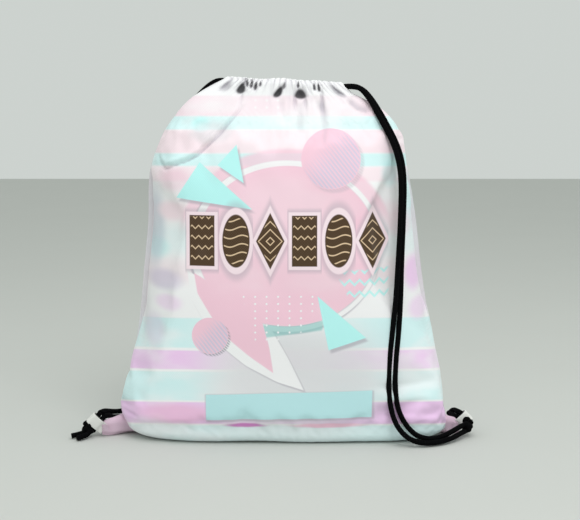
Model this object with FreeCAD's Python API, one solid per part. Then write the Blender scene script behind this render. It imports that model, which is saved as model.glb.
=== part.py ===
import FreeCAD, Part
import math
import os

V = FreeCAD.Vector

# Driving dimensions, all in millimetres.
CLOTH = 1.2             # thickness of one layer of the woven cloth
CORD_RADIUS = 2.5       # the round braided drawstring
THREAD_RADIUS = 0.45    # sewing thread
SEAM_ALLOWANCE = 9.0    # cloth turned in past each row of seam stitching
WEBBING = 1.3           # thickness of the corner webbing
WEBBING_WIDTH = 10.5
LOOP_LENGTH = 14.6      # how far a corner loop stands out of its corner
LOOP_GAP = 6.2          # clear height inside a corner loop

# The body as level sections: height, left edge, right edge, half depth,
# roundness of the section, and the level thickness of the cloth there.
SECTIONS = [
    (0.0, -138.0, 137.0, 44.0, 2.7, 2.4),
    (3.0, -148.0, 147.0, 52.0, 2.7, 2.0),
    (9.0, -153.0, 152.0, 57.0, 2.7, 1.3),
    (30.0, -151.5, 150.5, 60.0, 2.6, CLOTH),
    (60.0, -145.5, 145.0, 61.0, 2.5, CLOTH),
    (100.0, -137.5, 138.0, 60.5, 2.5, CLOTH),
    (150.0, -132.0, 129.5, 58.0, 2.4, CLOTH),
    (200.0, -127.0, 123.5, 54.0, 2.4, CLOTH),
    (235.0, -126.0, 117.5, 49.0, 2.4, CLOTH),
    (255.0, -122.5, 113.5, 44.5, 2.4, 1.4),
    (275.0, -113.0, 108.0, 39.0, 2.3, 1.6),
    (292.0, -100.0, 99.0, 32.0, 2.3, 2.0),
    (304.0, -82.0, 84.0, 25.0, 2.3, 2.8),
    (313.4, -53.0, 56.0, 18.4, 2.3, 3.2),
]

# The gathered mouth: the middle line of the tunnel that holds the cords.
MOUTH_LEFT = -50.5
MOUTH_RIGHT = 53.5
MOUTH_DEPTH = 15.5
MOUTH_ROUNDNESS = 2.3
MOUTH_HEIGHT = 320.4
MOUTH_TILT = -0.05      # the right end of the mouth sits lower than the left
TILT_STARTS = 270.0     # height where the body begins to lean with the mouth
TUNNEL_END = 17.0       # degrees left open at each end of a tunnel
TUNNEL_THICK = 4.0      # half thickness of the tunnel across the cloth
TUNNEL_TALL = 7.9       # half height of the tunnel
RUFFLES = 9             # gathers along one side of the mouth
RUFFLE_DEPTH = 0.9
CORD_STACK = 3.3        # each cord runs this far above or below the middle
PIVOT_GAP = 2.52        # from the middle of a strand's round end to the cord in the tunnel

# Free strands of the two carrying cords, from the mouth to the corner.
RIGHT_FRONT_STRAND = [
    (61.0, -3.2, 320.7), (69.0, -4.6, 321.6), (76.0, -8.0, 319.4), (82.0, -12.5, 312.0),
    (88.6, -18.0, 300.6), (95.8, -25.0, 286.6), (101.4, -30.5, 273.6), (104.6, -35.0, 258.6),
    (105.4, -39.5, 238.8), (104.4, -46.0, 204.0), (102.4, -51.0, 168.6), (100.4, -54.0, 133.0),
    (97.6, -56.0, 105.8), (95.0, -57.2, 79.6), (94.2, -58.2, 57.0), (95.6, -60.2, 38.0),
    (100.2, -62.6, 21.8), (108.6, -64.2, 10.8), (118.8, -64.6, 5.0), (130.2, -63.4, 3.4),
    (142.4, -58.0, 3.4), (153.4, -49.4, 4.6), (161.4, -39.6, 5.8), (166.8, -32.6, 6.4),
    (170.6, -27.6, 6.6),
]
RIGHT_REAR_STRAND = [
    (61.0, 3.2, 320.7), (69.0, 3.0, 321.2), (77.0, 0.0, 318.6), (83.6, -5.2, 311.2),
    (91.4, -12.4, 301.2), (99.2, -20.2, 286.8), (104.2, -24.6, 272.8), (107.6, -29.4, 257.8),
    (108.6, -33.8, 238.2), (107.4, -40.4, 202.8), (105.8, -45.6, 167.6), (105.0, -49.8, 132.4),
    (103.8, -53.8, 105.4), (101.6, -56.4, 79.4), (100.8, -57.6, 57.2), (102.8, -58.4, 36.6),
    (107.6, -58.6, 23.4), (114.8, -58.6, 13.6), (123.2, -57.6, 7.6), (133.4, -54.6, 5.0),
    (143.8, -49.0, 5.6), (153.2, -41.0, 7.8), (160.8, -34.6, 10.4), (166.0, -30.2, 11.8),
    (170.4, -27.2, 12.2),
]
LEFT_REAR_STRAND = [
    (-58.0, 3.2, 320.0), (-66.0, 5.0, 321.4), (-73.4, 10.0, 319.0), (-80.0, 16.6, 312.0),
    (-87.0, 23.4, 300.8), (-94.4, 31.0, 286.6), (-100.0, 37.0, 273.0), (-104.0, 41.6, 257.6),
    (-106.0, 46.0, 238.6), (-106.6, 51.6, 204.0), (-105.6, 55.8, 168.6), (-104.4, 58.8, 133.2),
    (-103.4, 60.4, 106.2), (-103.6, 61.2, 81.0), (-105.8, 61.4, 59.0), (-110.2, 60.8, 40.4),
    (-117.0, 58.8, 25.4), (-125.6, 54.8, 14.6), (-135.4, 48.4, 8.4), (-145.4, 39.4, 6.4),
    (-153.0, 28.2, 7.4), (-158.6, 17.0, 10.0), (-161.6, 6.0, 13.6), (-162.8, -5.0, 17.4),
    (-163.2, -14.6, 20.2), (-164.8, -22.4, 20.4), (-167.3, -26.4, 18.7),
]
LEFT_FRONT_STRAND = [
    (-58.0, -3.2, 320.0), (-66.4, -1.8, 321.0), (-74.8, 3.4, 318.4), (-82.4, 10.6, 312.4),
    (-90.6, 18.8, 301.8), (-98.2, 26.2, 286.6), (-103.4, 31.8, 271.6), (-108.2, 36.6, 256.6),
    (-111.2, 40.6, 238.2), (-111.6, 46.4, 203.6), (-110.8, 51.4, 168.2), (-110.0, 55.2, 132.8),
    (-109.8, 57.4, 106.0), (-110.6, 58.4, 82.4), (-113.4, 58.0, 62.0), (-118.4, 56.2, 44.8),
    (-125.2, 52.6, 30.6), (-133.4, 47.0, 20.0), (-142.6, 39.4, 14.4), (-151.2, 30.2, 13.4),
    (-158.6, 19.6, 16.0), (-163.4, 9.0, 19.6), (-166.4, -2.0, 23.0), (-167.6, -12.0, 25.0),
    (-168.8, -20.6, 24.4), (-171.0, -25.7, 22.7),
]


def tilt(x, z):
    """Lift of a body point once the body begins to lean with the mouth."""
    share = (z - TILT_STARTS) / (SECTIONS[-1][0] - TILT_STARTS)
    return MOUTH_TILT * x * max(0.0, min(1.0, share))


def half_section(section, side, inset, count=18):
    """Points along one half of a level body section, left edge to right."""
    height, left, right, depth, roundness, _ = section
    middle = (left + right) / 2
    reach = (right - left) / 2 - inset
    points = []
    for i in range(count + 1):
        angle = math.pi * (1 - i / count)
        cosine = math.cos(angle)
        across = math.copysign(abs(cosine) ** (2 / roundness), cosine)
        along = abs(math.sin(angle)) ** (2 / roundness)
        if i in (0, count):
            along = 0.0
        x = middle + reach * across
        points.append(V(x, side * (depth - inset) * along, height + tilt(x, height)))
    return points


def spline(points):
    """An open smooth edge through the points."""
    curve = Part.BSplineCurve()
    curve.interpolate(points)
    return curve.toShape()


def ring(points):
    """A closed smooth wire through the points."""
    curve = Part.BSplineCurve()
    curve.interpolate(Points=points, PeriodicFlag=True)
    return Part.Wire([curve.toShape()])


def line(start, end):
    """A straight edge."""
    return Part.makeLine(start, end)


def largest(shape):
    """The main solid of a cut shape, without any sliver beside it."""
    return max(shape.Solids, key=lambda solid: solid.Volume)


def half_wire(section, side, inset, past, lift=0.0):
    """Closed outline of half a section, its straight edge moved past the seam."""
    curve = [p + V(0, 0, lift) for p in half_section(section, side, inset)]
    edges = [spline(curve)]
    if past:
        step = V(0, -side * past, 0)
        edges.append(line(curve[-1], curve[-1] + step))
        edges.append(line(curve[-1] + step, curve[0] + step))
        edges.append(line(curve[0] + step, curve[0]))
    else:
        edges.append(line(curve[-1], curve[0]))
    return Part.Wire(edges)


def body_panel(side):
    """One half of the body: a cloth wall from the mouth, closed under by the base."""
    outside = Part.makeLoft([half_wire(s, side, 0.0, 0.0) for s in SECTIONS], True, False)
    hollow = [half_wire(SECTIONS[0], side, SECTIONS[0][5], 2.0, CLOTH)]
    for section in SECTIONS[1:]:
        hollow.append(half_wire(section, side, section[5], 2.0))
    hollow.append(half_wire(SECTIONS[-1], side, SECTIONS[-1][5] + 0.3, 2.0, 1.5))
    wall = outside.cut(Part.makeLoft(hollow, True, False))
    return wall.cut(tunnel_outline(side))


def filled_body():
    """The whole outline of the body as one solid, for trimming the corners."""
    wires = []
    for section in SECTIONS[:6]:
        front = half_section(section, -1, 0.0)
        back = half_section(section, 1, 0.0)
        wires.append(Part.Wire([spline(front), spline(list(reversed(back)))]))
    return Part.makeLoft(wires, True, False)


def mouth_point(degrees, side):
    """A point of the tunnel middle line, and the outward direction there."""
    angle = math.radians(degrees)
    middle = (MOUTH_LEFT + MOUTH_RIGHT) / 2
    reach = (MOUTH_RIGHT - MOUTH_LEFT) / 2
    cosine = math.cos(angle)
    across = math.copysign(abs(cosine) ** (2 / MOUTH_ROUNDNESS), cosine)
    along = abs(math.sin(angle)) ** (2 / MOUTH_ROUNDNESS)
    x = middle + reach * across
    y = side * MOUTH_DEPTH * along
    slope = V(
        math.copysign(abs(across) ** (MOUTH_ROUNDNESS - 1), across) / reach,
        side * along ** (MOUTH_ROUNDNESS - 1) / MOUTH_DEPTH,
        0,
    )
    return V(x, y, MOUTH_HEIGHT + MOUTH_TILT * x), slope.normalize()


def tunnel_wire(degrees, side, thick, tall, ruffle):
    """Outline of the tunnel cloth cut square to the mouth line."""
    centre, outward = mouth_point(degrees, side)
    points = []
    for i in range(16):
        angle = 2 * math.pi * i / 16
        cosine = math.cos(angle)
        sine = math.sin(angle)
        out = math.copysign(abs(cosine) ** 0.62, cosine) * thick
        up = math.copysign(abs(sine) ** 0.62, sine) * tall
        if out > 0:
            out += ruffle
        points.append(centre + outward * out + V(0, 0, up))
    return ring(points)


def tunnel_outline(side):
    """The outside of one tunnel as a solid, gathered into shallow ruffles."""
    first = TUNNEL_END
    last = 180 - TUNNEL_END
    count = RUFFLES * 4
    outer = []
    for i in range(count + 1):
        wave = 0.5 - 0.5 * math.cos(2 * math.pi * RUFFLES * i / count)
        angle = first + (last - first) * i / count
        outer.append(tunnel_wire(angle, side, TUNNEL_THICK, TUNNEL_TALL, RUFFLE_DEPTH * wave))
    return Part.makeLoft(outer, True, False)


def tunnel(side):
    """The turned-over hem of one panel, open along its middle for the cords."""
    first = TUNNEL_END - 2
    last = 182 - TUNNEL_END
    inner = []
    for i in range(17):
        angle = first + (last - first) * i / 16
        inner.append(tunnel_wire(angle, side, TUNNEL_THICK - 0.8, TUNNEL_TALL - 1.1, 0.0))
    return tunnel_outline(side).cut(Part.makeLoft(inner, True, False))


def tube(points, radius):
    """A round cord along straight runs joined by tangent arcs."""
    points = [V(*p) for p in points]
    edges = []
    start = points[0]
    for before, corner, after in zip(points, points[1:], points[2:]):
        arrive = corner - before
        leave = after - corner
        shorter = min(arrive.Length, leave.Length)
        arrive.normalize()
        leave.normalize()
        turn = arrive.getAngle(leave)
        if turn < 0.002:
            continue
        setback = 0.45 * shorter
        bend = setback / math.tan(turn / 2)
        first = corner - arrive * setback
        last = corner + leave * setback
        inward = (leave - arrive).normalize()
        centre = corner + inward * math.hypot(bend, setback)
        middle = centre - inward * bend
        edges.append(line(start, first))
        edges.append(Part.Arc(first, middle, last).toShape())
        start = last
    edges.append(line(start, points[-1]))
    path = Part.Wire(edges)
    heading = points[1] - points[0]
    profile = Part.Wire([Part.makeCircle(radius, points[0], heading)])
    return path.makePipeShell([profile], True, False)


def held_cord(front_strand, rear_strand, far_x, lift):
    """The part of a cord inside the tunnels, joined to its two free strands."""
    stations = [22, 32, 44, 58, 74, 90, 106, 122, 136, 148, 158]
    if front_strand[0][0] < 0:
        stations = [180 - s for s in stations]
    front = [mouth_point(s, -1)[0] + V(0, 0, lift) for s in stations]
    back = [mouth_point(s, 1)[0] + V(0, 0, lift) for s in reversed(stations)]
    level = MOUTH_HEIGHT + lift + MOUTH_TILT * far_x
    turn = [V(far_x, y, level) for y in (-3.4, 3.4)]
    leads = []
    for strand in (front_strand, rear_strand):
        pivot = V(*strand[0])
        inward = pivot - V(*strand[1])
        reach = inward.Length
        inward.normalize()
        leads.append((pivot + inward * PIVOT_GAP, pivot + inward * reach * 0.65))
    (start, lead_in), (end, lead_out) = leads
    return tube([start, lead_in] + front + turn + back + [lead_out, end], CORD_RADIUS)


def free_strand(points):
    """A free strand, rounded where it leaves the tunnel so that it can turn there."""
    pivot = V(*points[0])
    inward = pivot - V(*points[1])
    dome = Part.makeSphere(CORD_RADIUS, pivot, inward, 0, 90, 360)
    return tube(points, CORD_RADIUS).fuse(dome).removeSplitter()


def side_seam(edge, inward, panels):
    """Seam allowance of both panels standing inward along one side."""
    wires = []
    for section in SECTIONS[2:-2]:
        x = section[edge] + inward * (section[5] - 0.6)
        z = section[0]
        corners = [(x, -CLOTH), (x + inward * SEAM_ALLOWANCE, -CLOTH)]
        corners += [(x + inward * SEAM_ALLOWANCE, CLOTH), (x, CLOTH)]
        points = [V(px, py, z + tilt(px, z)) for px, py in corners]
        wires.append(Part.makePolygon(points + points[:1]))
    return largest(Part.makeLoft(wires, True, False).cut(panels))


def seam_thread(edge, inward):
    """Row of stitching holding one side seam."""
    points = []
    for section in SECTIONS[2:-2]:
        x = section[edge] + inward * (section[5] + 5.0)
        points.append((x, -CLOTH - THREAD_RADIUS, section[0] + tilt(x, section[0])))
    return tube(points, THREAD_RADIUS)


def hem_thread(side):
    """Row of stitching closing the underside of one tunnel."""
    points = []
    for i in range(19):
        angle = TUNNEL_END + 4 + (172 - 2 * TUNNEL_END) * i / 18
        centre, outward = mouth_point(angle, side)
        points.append(centre + outward * (TUNNEL_THICK + 2.6) - V(0, 0, TUNNEL_TALL + 0.6))
    return tube(points, THREAD_RADIUS)


def corner(side, tip_x, tip_y, neighbours):
    """The sewn bottom corner, drawn out flat toward its webbing loop."""
    stations = [
        (126.0, -4.0, 11.0, 14.0, 9.6),
        (143.0, -8.0, 10.0, 10.5, 8.6),
        (tip_x - 11.0, 0.35 * -9.0 + 0.65 * tip_y, 9.2, 5.4, 7.0),
        (tip_x, tip_y, 8.6, 2.2, 4.6),
    ]
    wires = []
    for x, y, z, deep, tall in stations:
        points = []
        for i in range(12):
            angle = 2 * math.pi * i / 12
            points.append(V(side * x, y + deep * math.cos(angle), z + tall * math.sin(angle)))
        wires.append(ring(points))
    drawn = Part.makeLoft(wires, True, False).cut(filled_body())
    return largest(drawn.cut(neighbours))


def loop_point(side, root, out, along, across=0.0):
    """A point in the frame of a corner loop: out from its root, along its hole."""
    away = V(side * 0.727, 0, 0.687)
    hole = V(side * 0.687, 0, -0.727)
    return root + away * out + hole * along + V(0, across, 0)


def drop_face(side, root, along, extra, back):
    """A drop-shaped face across the hole of a corner loop."""
    half = LOOP_GAP / 2 + extra
    tip = LOOP_LENGTH - WEBBING + extra
    pairs = [(back, 1.0 + extra * 0.4), (1.8, 1.2 + extra), (3.8, half)]
    pairs += [(tip - half * 0.7, half), (tip - 0.7, half * 0.6), (tip, 0.0)]
    upper = [loop_point(side, root, out, along, high) for out, high in pairs]
    lower = [loop_point(side, root, out, along, -high) for out, high in pairs[:-1]]
    rim = spline(upper + list(reversed(lower)))
    return Part.Face(Part.Wire([rim, line(lower[0], upper[0])]))


def webbing_loop(side, root):
    """A folded strip of webbing: a drop-shaped loop seen along its width."""
    edge = -WEBBING_WIDTH / 2
    hole = loop_point(side, root, 0, 1) - root
    strip = drop_face(side, root, edge, WEBBING, -2.4).extrude(hole * WEBBING_WIDTH)
    gap = drop_face(side, root, edge - 1, 0.0, 1.4).extrude(hole * (WEBBING_WIDTH + 2))
    return strip.cut(gap)


def bar_tack(side, tip_x, tip_y):
    """Dense stitching across the corner where the webbing is held."""
    rows = []
    for i in range(3):
        x = side * (tip_x - 4.4 + 1.5 * i)
        bar = Part.makeBox(0.9, 0.8, 6.4, V(x - 0.45, tip_y - 4.0, 5.8))
        rows.append(bar)
    backing = Part.makeBox(4.6, 0.5, 6.4, V(side * (tip_x - 2.9) - 2.3, tip_y - 3.4, 5.8))
    return backing.fuse(rows).removeSplitter()


def knot(side, root, centre, tails):
    """Both ends of a cord through the loop, pulled into an overhand knot."""
    shape = Part.makeSphere(4.4, centre)
    turns = [(V(1, 0.3, 0.4), V(0.6, 0, 1.0)), (V(0.1, 1, 0.5), V(-0.6, 0.6, -0.6))]
    turns.append((V(0.5, -0.5, 1.0), V(0, -0.8, 0)))
    for axis, shift in turns:
        shape = shape.fuse(Part.makeTorus(3.6, CORD_RADIUS * 0.94, centre + shift, axis))
    for out in LOOP_CORDS:
        entry = loop_point(side, root, out, LOOP_ENTRY)
        leaving = loop_point(side, root, out, -LOOP_ENTRY)
        shape = shape.fuse(tube([entry, leaving, centre], CORD_RADIUS))
    for points in tails:
        shape = shape.fuse(tube(points, CORD_RADIUS))
    return shape


os.makedirs("parts", exist_ok=True)

# Where each webbing loop leaves its corner, and the middle of each knot.
LOOP_CORDS = (4.7, 9.8)     # the two cords sit this far out inside a loop
LOOP_ENTRY = -6.0           # they reach this far past the middle of its hole
LEFT_ROOT = V(-169.2, -27.0, 9.4)
RIGHT_ROOT = V(162.0, -19.0, 9.6)
LEFT_KNOT = V(-180.8, -28.0, 8.0)
RIGHT_KNOT = V(173.0, -19.6, 8.2)
LEFT_TAILS = [
    [(-181.6, -29.6, 6.6), (-187.6, -33.2, 4.0), (-196.0, -36.0, 3.0)],
    [(-179.6, -31.0, 6.0), (-182.6, -38.0, 3.6), (-189.4, -44.0, 3.0)],
]
RIGHT_TAILS = [
    [(161.3, -19.0, 17.2), (159.0, -13.0, 20.6), (157.6, -3.0, 19.6), (157.4, 8.0, 15.0)],
    [(165.0, -19.0, 20.7), (163.8, -11.0, 23.6), (162.6, 0.0, 20.6), (162.0, 9.0, 15.4)],
]

parts = {}
parts["front_panel"] = body_panel(-1)
parts["back_panel"] = body_panel(1)
parts["front_tunnel"] = tunnel(-1)
parts["back_tunnel"] = tunnel(1)
both_panels = [parts["front_panel"], parts["back_panel"]]
parts["left_side_seam"] = side_seam(1, 1, both_panels)
parts["right_side_seam"] = side_seam(2, -1, both_panels)
parts["left_seam_thread"] = seam_thread(1, 1)
parts["right_seam_thread"] = seam_thread(2, -1)
parts["bottom_seam"] = Part.makeBox(262, 2 * CLOTH, 8.0, V(-131, -CLOTH, CLOTH))
parts["front_hem_thread"] = hem_thread(-1)
parts["back_hem_thread"] = hem_thread(1)
parts["right_cord_in_hem"] = held_cord(
    RIGHT_FRONT_STRAND, RIGHT_REAR_STRAND, -56.5, CORD_STACK
)
parts["left_cord_in_hem"] = held_cord(
    LEFT_FRONT_STRAND, LEFT_REAR_STRAND, 59.5, -CORD_STACK
)
parts["left_loop"] = webbing_loop(-1, LEFT_ROOT)
parts["right_loop"] = webbing_loop(1, RIGHT_ROOT)
parts["left_corner"] = corner(-1, 168.0, -27.0, both_panels + [parts["left_loop"]])
parts["right_corner"] = corner(1, 162.4, -19.0, both_panels + [parts["right_loop"]])
parts["left_bar_tack"] = bar_tack(-1, 168.0, -27.0)
parts["right_bar_tack"] = bar_tack(1, 162.4, -19.0)
parts["right_front_strand"] = free_strand(RIGHT_FRONT_STRAND)
parts["right_rear_strand"] = free_strand(RIGHT_REAR_STRAND)
parts["left_rear_strand"] = free_strand(LEFT_REAR_STRAND)
parts["left_front_strand"] = free_strand(LEFT_FRONT_STRAND)
parts["left_knot"] = knot(-1, LEFT_ROOT, LEFT_KNOT, LEFT_TAILS)
parts["right_knot"] = knot(1, RIGHT_ROOT, RIGHT_KNOT, RIGHT_TAILS)
print("cord radius", CORD_RADIUS)
print("thread radius", THREAD_RADIUS)

for name, shape in parts.items():
    solids = len(shape.Solids)
    print(name, shape.isValid(), solids, round(shape.Volume, 1))
    shape.exportStep("parts/" + name + ".step")
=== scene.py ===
"""A drawstring bag: printed cloth body, gathered mouth, two braided carrying cords."""

import logging
import math
from collections.abc import Sequence
from dataclasses import dataclass, field
from enum import Enum

import bmesh
import bpy
import numpy as np
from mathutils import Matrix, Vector

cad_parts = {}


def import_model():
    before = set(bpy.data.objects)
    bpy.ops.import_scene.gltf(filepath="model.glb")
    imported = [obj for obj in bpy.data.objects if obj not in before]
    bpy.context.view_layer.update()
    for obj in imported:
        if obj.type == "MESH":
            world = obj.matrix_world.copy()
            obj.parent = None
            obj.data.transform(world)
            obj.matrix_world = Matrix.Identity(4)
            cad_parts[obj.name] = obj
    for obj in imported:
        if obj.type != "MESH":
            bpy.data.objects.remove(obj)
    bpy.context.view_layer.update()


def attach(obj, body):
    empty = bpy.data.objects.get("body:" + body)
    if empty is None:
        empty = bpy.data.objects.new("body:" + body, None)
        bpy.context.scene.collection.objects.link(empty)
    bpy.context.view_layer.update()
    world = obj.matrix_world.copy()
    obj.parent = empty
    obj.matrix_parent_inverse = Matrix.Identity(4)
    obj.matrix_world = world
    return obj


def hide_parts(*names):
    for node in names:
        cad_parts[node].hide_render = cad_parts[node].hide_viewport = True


LOG = logging.getLogger("drawstring_bag")
MM = 0.001
Point = tuple[float, float, float]
Colour = tuple[float, float, float, float]


class Face(Enum):
    """The two panels of the bag, by the sign of the Y side each one is on."""

    FRONT = -1
    BACK = 1


class Side(Enum):
    """The two bottom corners, by the sign of the X side each one is on."""

    LEFT = -1
    RIGHT = 1


# ---------------------------------------------------------------- materials


class Num:
    """A number that varies over a surface, held as one output socket."""

    def __init__(self, graph: "Graph", socket: bpy.types.NodeSocket) -> None:
        """Keep the graph the socket belongs to and the socket itself."""
        self.graph = graph
        self.socket = socket

    def math(self, operation: str, *others: "Num | float") -> "Num":
        """Add a Math node.

        Args:
            operation: The Math node's operation.
            others: The remaining operands.

        Returns:
            The node's result.
        """
        values = dict(enumerate((self, *others)))
        return self.graph.number("ShaderNodeMath", {"operation": operation}, values)

    def swapped(self, operation: str, other: float) -> "Num":
        """Return the Math node's result with a plain number as its first operand."""
        return self.graph.number("ShaderNodeMath", {"operation": operation}, {0: other, 1: self})

    def __add__(self, other: "Num | float") -> "Num":
        """Return the sum."""
        return self.math("ADD", other)

    def __radd__(self, other: float) -> "Num":
        """Return the sum."""
        return self.math("ADD", other)

    def __sub__(self, other: "Num | float") -> "Num":
        """Return the difference."""
        return self.math("SUBTRACT", other)

    def __rsub__(self, other: float) -> "Num":
        """Return the difference from a plain number."""
        return self.swapped("SUBTRACT", other)

    def __mul__(self, other: "Num | float") -> "Num":
        """Return the product."""
        return self.math("MULTIPLY", other)

    def __rmul__(self, other: float) -> "Num":
        """Return the product."""
        return self.math("MULTIPLY", other)

    def __truediv__(self, other: "Num | float") -> "Num":
        """Return the quotient."""
        return self.math("DIVIDE", other)

    def __abs__(self) -> "Num":
        """Return the size without its sign."""
        return self.math("ABSOLUTE")

    def __neg__(self) -> "Num":
        """Return the negative."""
        return self.math("MULTIPLY", -1.0)

    def sine(self) -> "Num":
        """Return the sine."""
        return self.math("SINE")

    def part(self) -> "Num":
        """Return the fraction above the whole number below."""
        return self.math("FRACT")

    def above(self, edge: float, soft: float) -> "Num":
        """Return a mask that is 1 above an edge and 0 below it.

        Args:
            edge: Where the mask is one half.
            soft: Half the width of the change.

        Returns:
            The mask.
        """
        return self.graph.number(
            "ShaderNodeMapRange",
            {"interpolation_type": "SMOOTHSTEP"},
            {"Value": self, "From Min": edge - soft, "From Max": edge + soft},
        )

    def below(self, edge: float, soft: float) -> "Num":
        """Return a mask that is 1 below an edge and 0 above it."""
        return 1.0 - self.above(edge, soft)

    def between(self, low: float, high: float, soft: float) -> "Num":
        """Return a mask that is 1 between two edges."""
        return self.above(low, soft) * self.below(high, soft)


class Graph:
    """Builds the node tree of one material."""

    def __init__(self, name: str) -> None:
        """Start an empty material of that name."""
        self.material = bpy.data.materials.new(name)
        self.material.use_nodes = True
        self.tree = self.material.node_tree
        self.tree.nodes.clear()

    def node(self, kind: str, settings: dict | None = None, values: dict | None = None) -> bpy.types.Node:
        """Add one node.

        Args:
            kind: The node's type.
            settings: Properties set first; "stops" fills a colour ramp.
            values: Socket name or number to a plain value or a link.

        Returns:
            The node.
        """
        made = self.tree.nodes.new(kind)
        for key, value in (settings or {}).items():
            if key == "stops":
                ramp = made.color_ramp
                while len(ramp.elements) < len(value):
                    ramp.elements.new(0.5)
                for element, (place, colour) in zip(ramp.elements, value):
                    element.position = place
                    element.color = colour
            else:
                setattr(made, key, value)
        for key, value in (values or {}).items():
            source = value.socket if isinstance(value, Num) else value
            if isinstance(source, bpy.types.NodeSocket):
                self.tree.links.new(source, made.inputs[key])
            else:
                made.inputs[key].default_value = source
        return made

    def number(self, kind: str, settings: dict | None = None, values: dict | None = None, output: int | str = 0) -> Num:
        """Add a node and return one of its outputs as a number."""
        return Num(self, self.node(kind, settings, values).outputs[output])

    def mix(self, share: Num | float, first: object, second: object) -> bpy.types.NodeSocket:
        """Blend two colours.

        Args:
            share: How much of the second colour shows.
            first: The colour at 0.
            second: The colour at 1.

        Returns:
            The blended colour.
        """
        settings = {"data_type": "RGBA", "clamp_factor": True}
        return self.node("ShaderNodeMix", settings, {0: share, 6: first, 7: second}).outputs[2]

    def place(self) -> tuple[Num, Num, Num]:
        """Return the object coordinates, in millimetres."""
        here = self.node("ShaderNodeTexCoord").outputs["Object"]
        axes = self.node("ShaderNodeSeparateXYZ", None, {0: here})
        return tuple(Num(self, axes.outputs[i]) * 1000.0 for i in range(3))

    def strip(self, layer: str) -> tuple[Num, Num]:
        """Return a named UV map as two numbers."""
        uv = self.node("ShaderNodeUVMap", {"uv_map": layer}).outputs[0]
        axes = self.node("ShaderNodeSeparateXYZ", None, {0: uv})
        return Num(self, axes.outputs[0]), Num(self, axes.outputs[1])

    def noise(self, scale: float, detail: float = 2.0, stretch: Point = (1, 1, 1)) -> Num:
        """Return a noise pattern on object coordinates.

        Args:
            scale: Lumps in a metre.
            detail: How many finer layers are added.
            stretch: How the coordinates are scaled along each axis.

        Returns:
            A number from 0 to 1.
        """
        here = self.node("ShaderNodeTexCoord").outputs["Object"]
        moved = self.node("ShaderNodeMapping", None, {"Vector": here, "Scale": stretch}).outputs[0]
        return self.number("ShaderNodeTexNoise", None, {"Vector": moved, "Scale": scale, "Detail": detail})

    def surface(
        self, colour: object, roughness: object, height: Num | None, depth: float, **constants: float
    ) -> bpy.types.Material:
        """Finish the tree with one shader.

        Args:
            colour: The base colour.
            roughness: The roughness.
            height: A relief in millimetres, or None.
            depth: Strength of the relief.
            constants: Other shader sockets, with underscores for spaces.

        Returns:
            The material.
        """
        values = {"Base Color": colour, "Roughness": roughness}
        values.update({key.replace("_", " "): value for key, value in constants.items()})
        if height is not None:
            bump = {"Height": height, "Distance": MM, "Strength": depth}
            values["Normal"] = self.node("ShaderNodeBump", None, bump).outputs[0]
        shader = self.node("ShaderNodeBsdfPrincipled", None, values)
        self.node("ShaderNodeOutputMaterial", None, {"Surface": shader.outputs[0]})
        return self.material


def dye(red: int, green: int, blue: int) -> Colour:
    """Return a shader colour from the 0 to 255 values a dyer's chart gives."""
    parts = []
    for value in (red, green, blue):
        share = value / 255
        parts.append(share / 12.92 if share <= 0.04045 else ((share + 0.055) / 1.055) ** 2.4)
    return (parts[0], parts[1], parts[2], 1.0)


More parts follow.
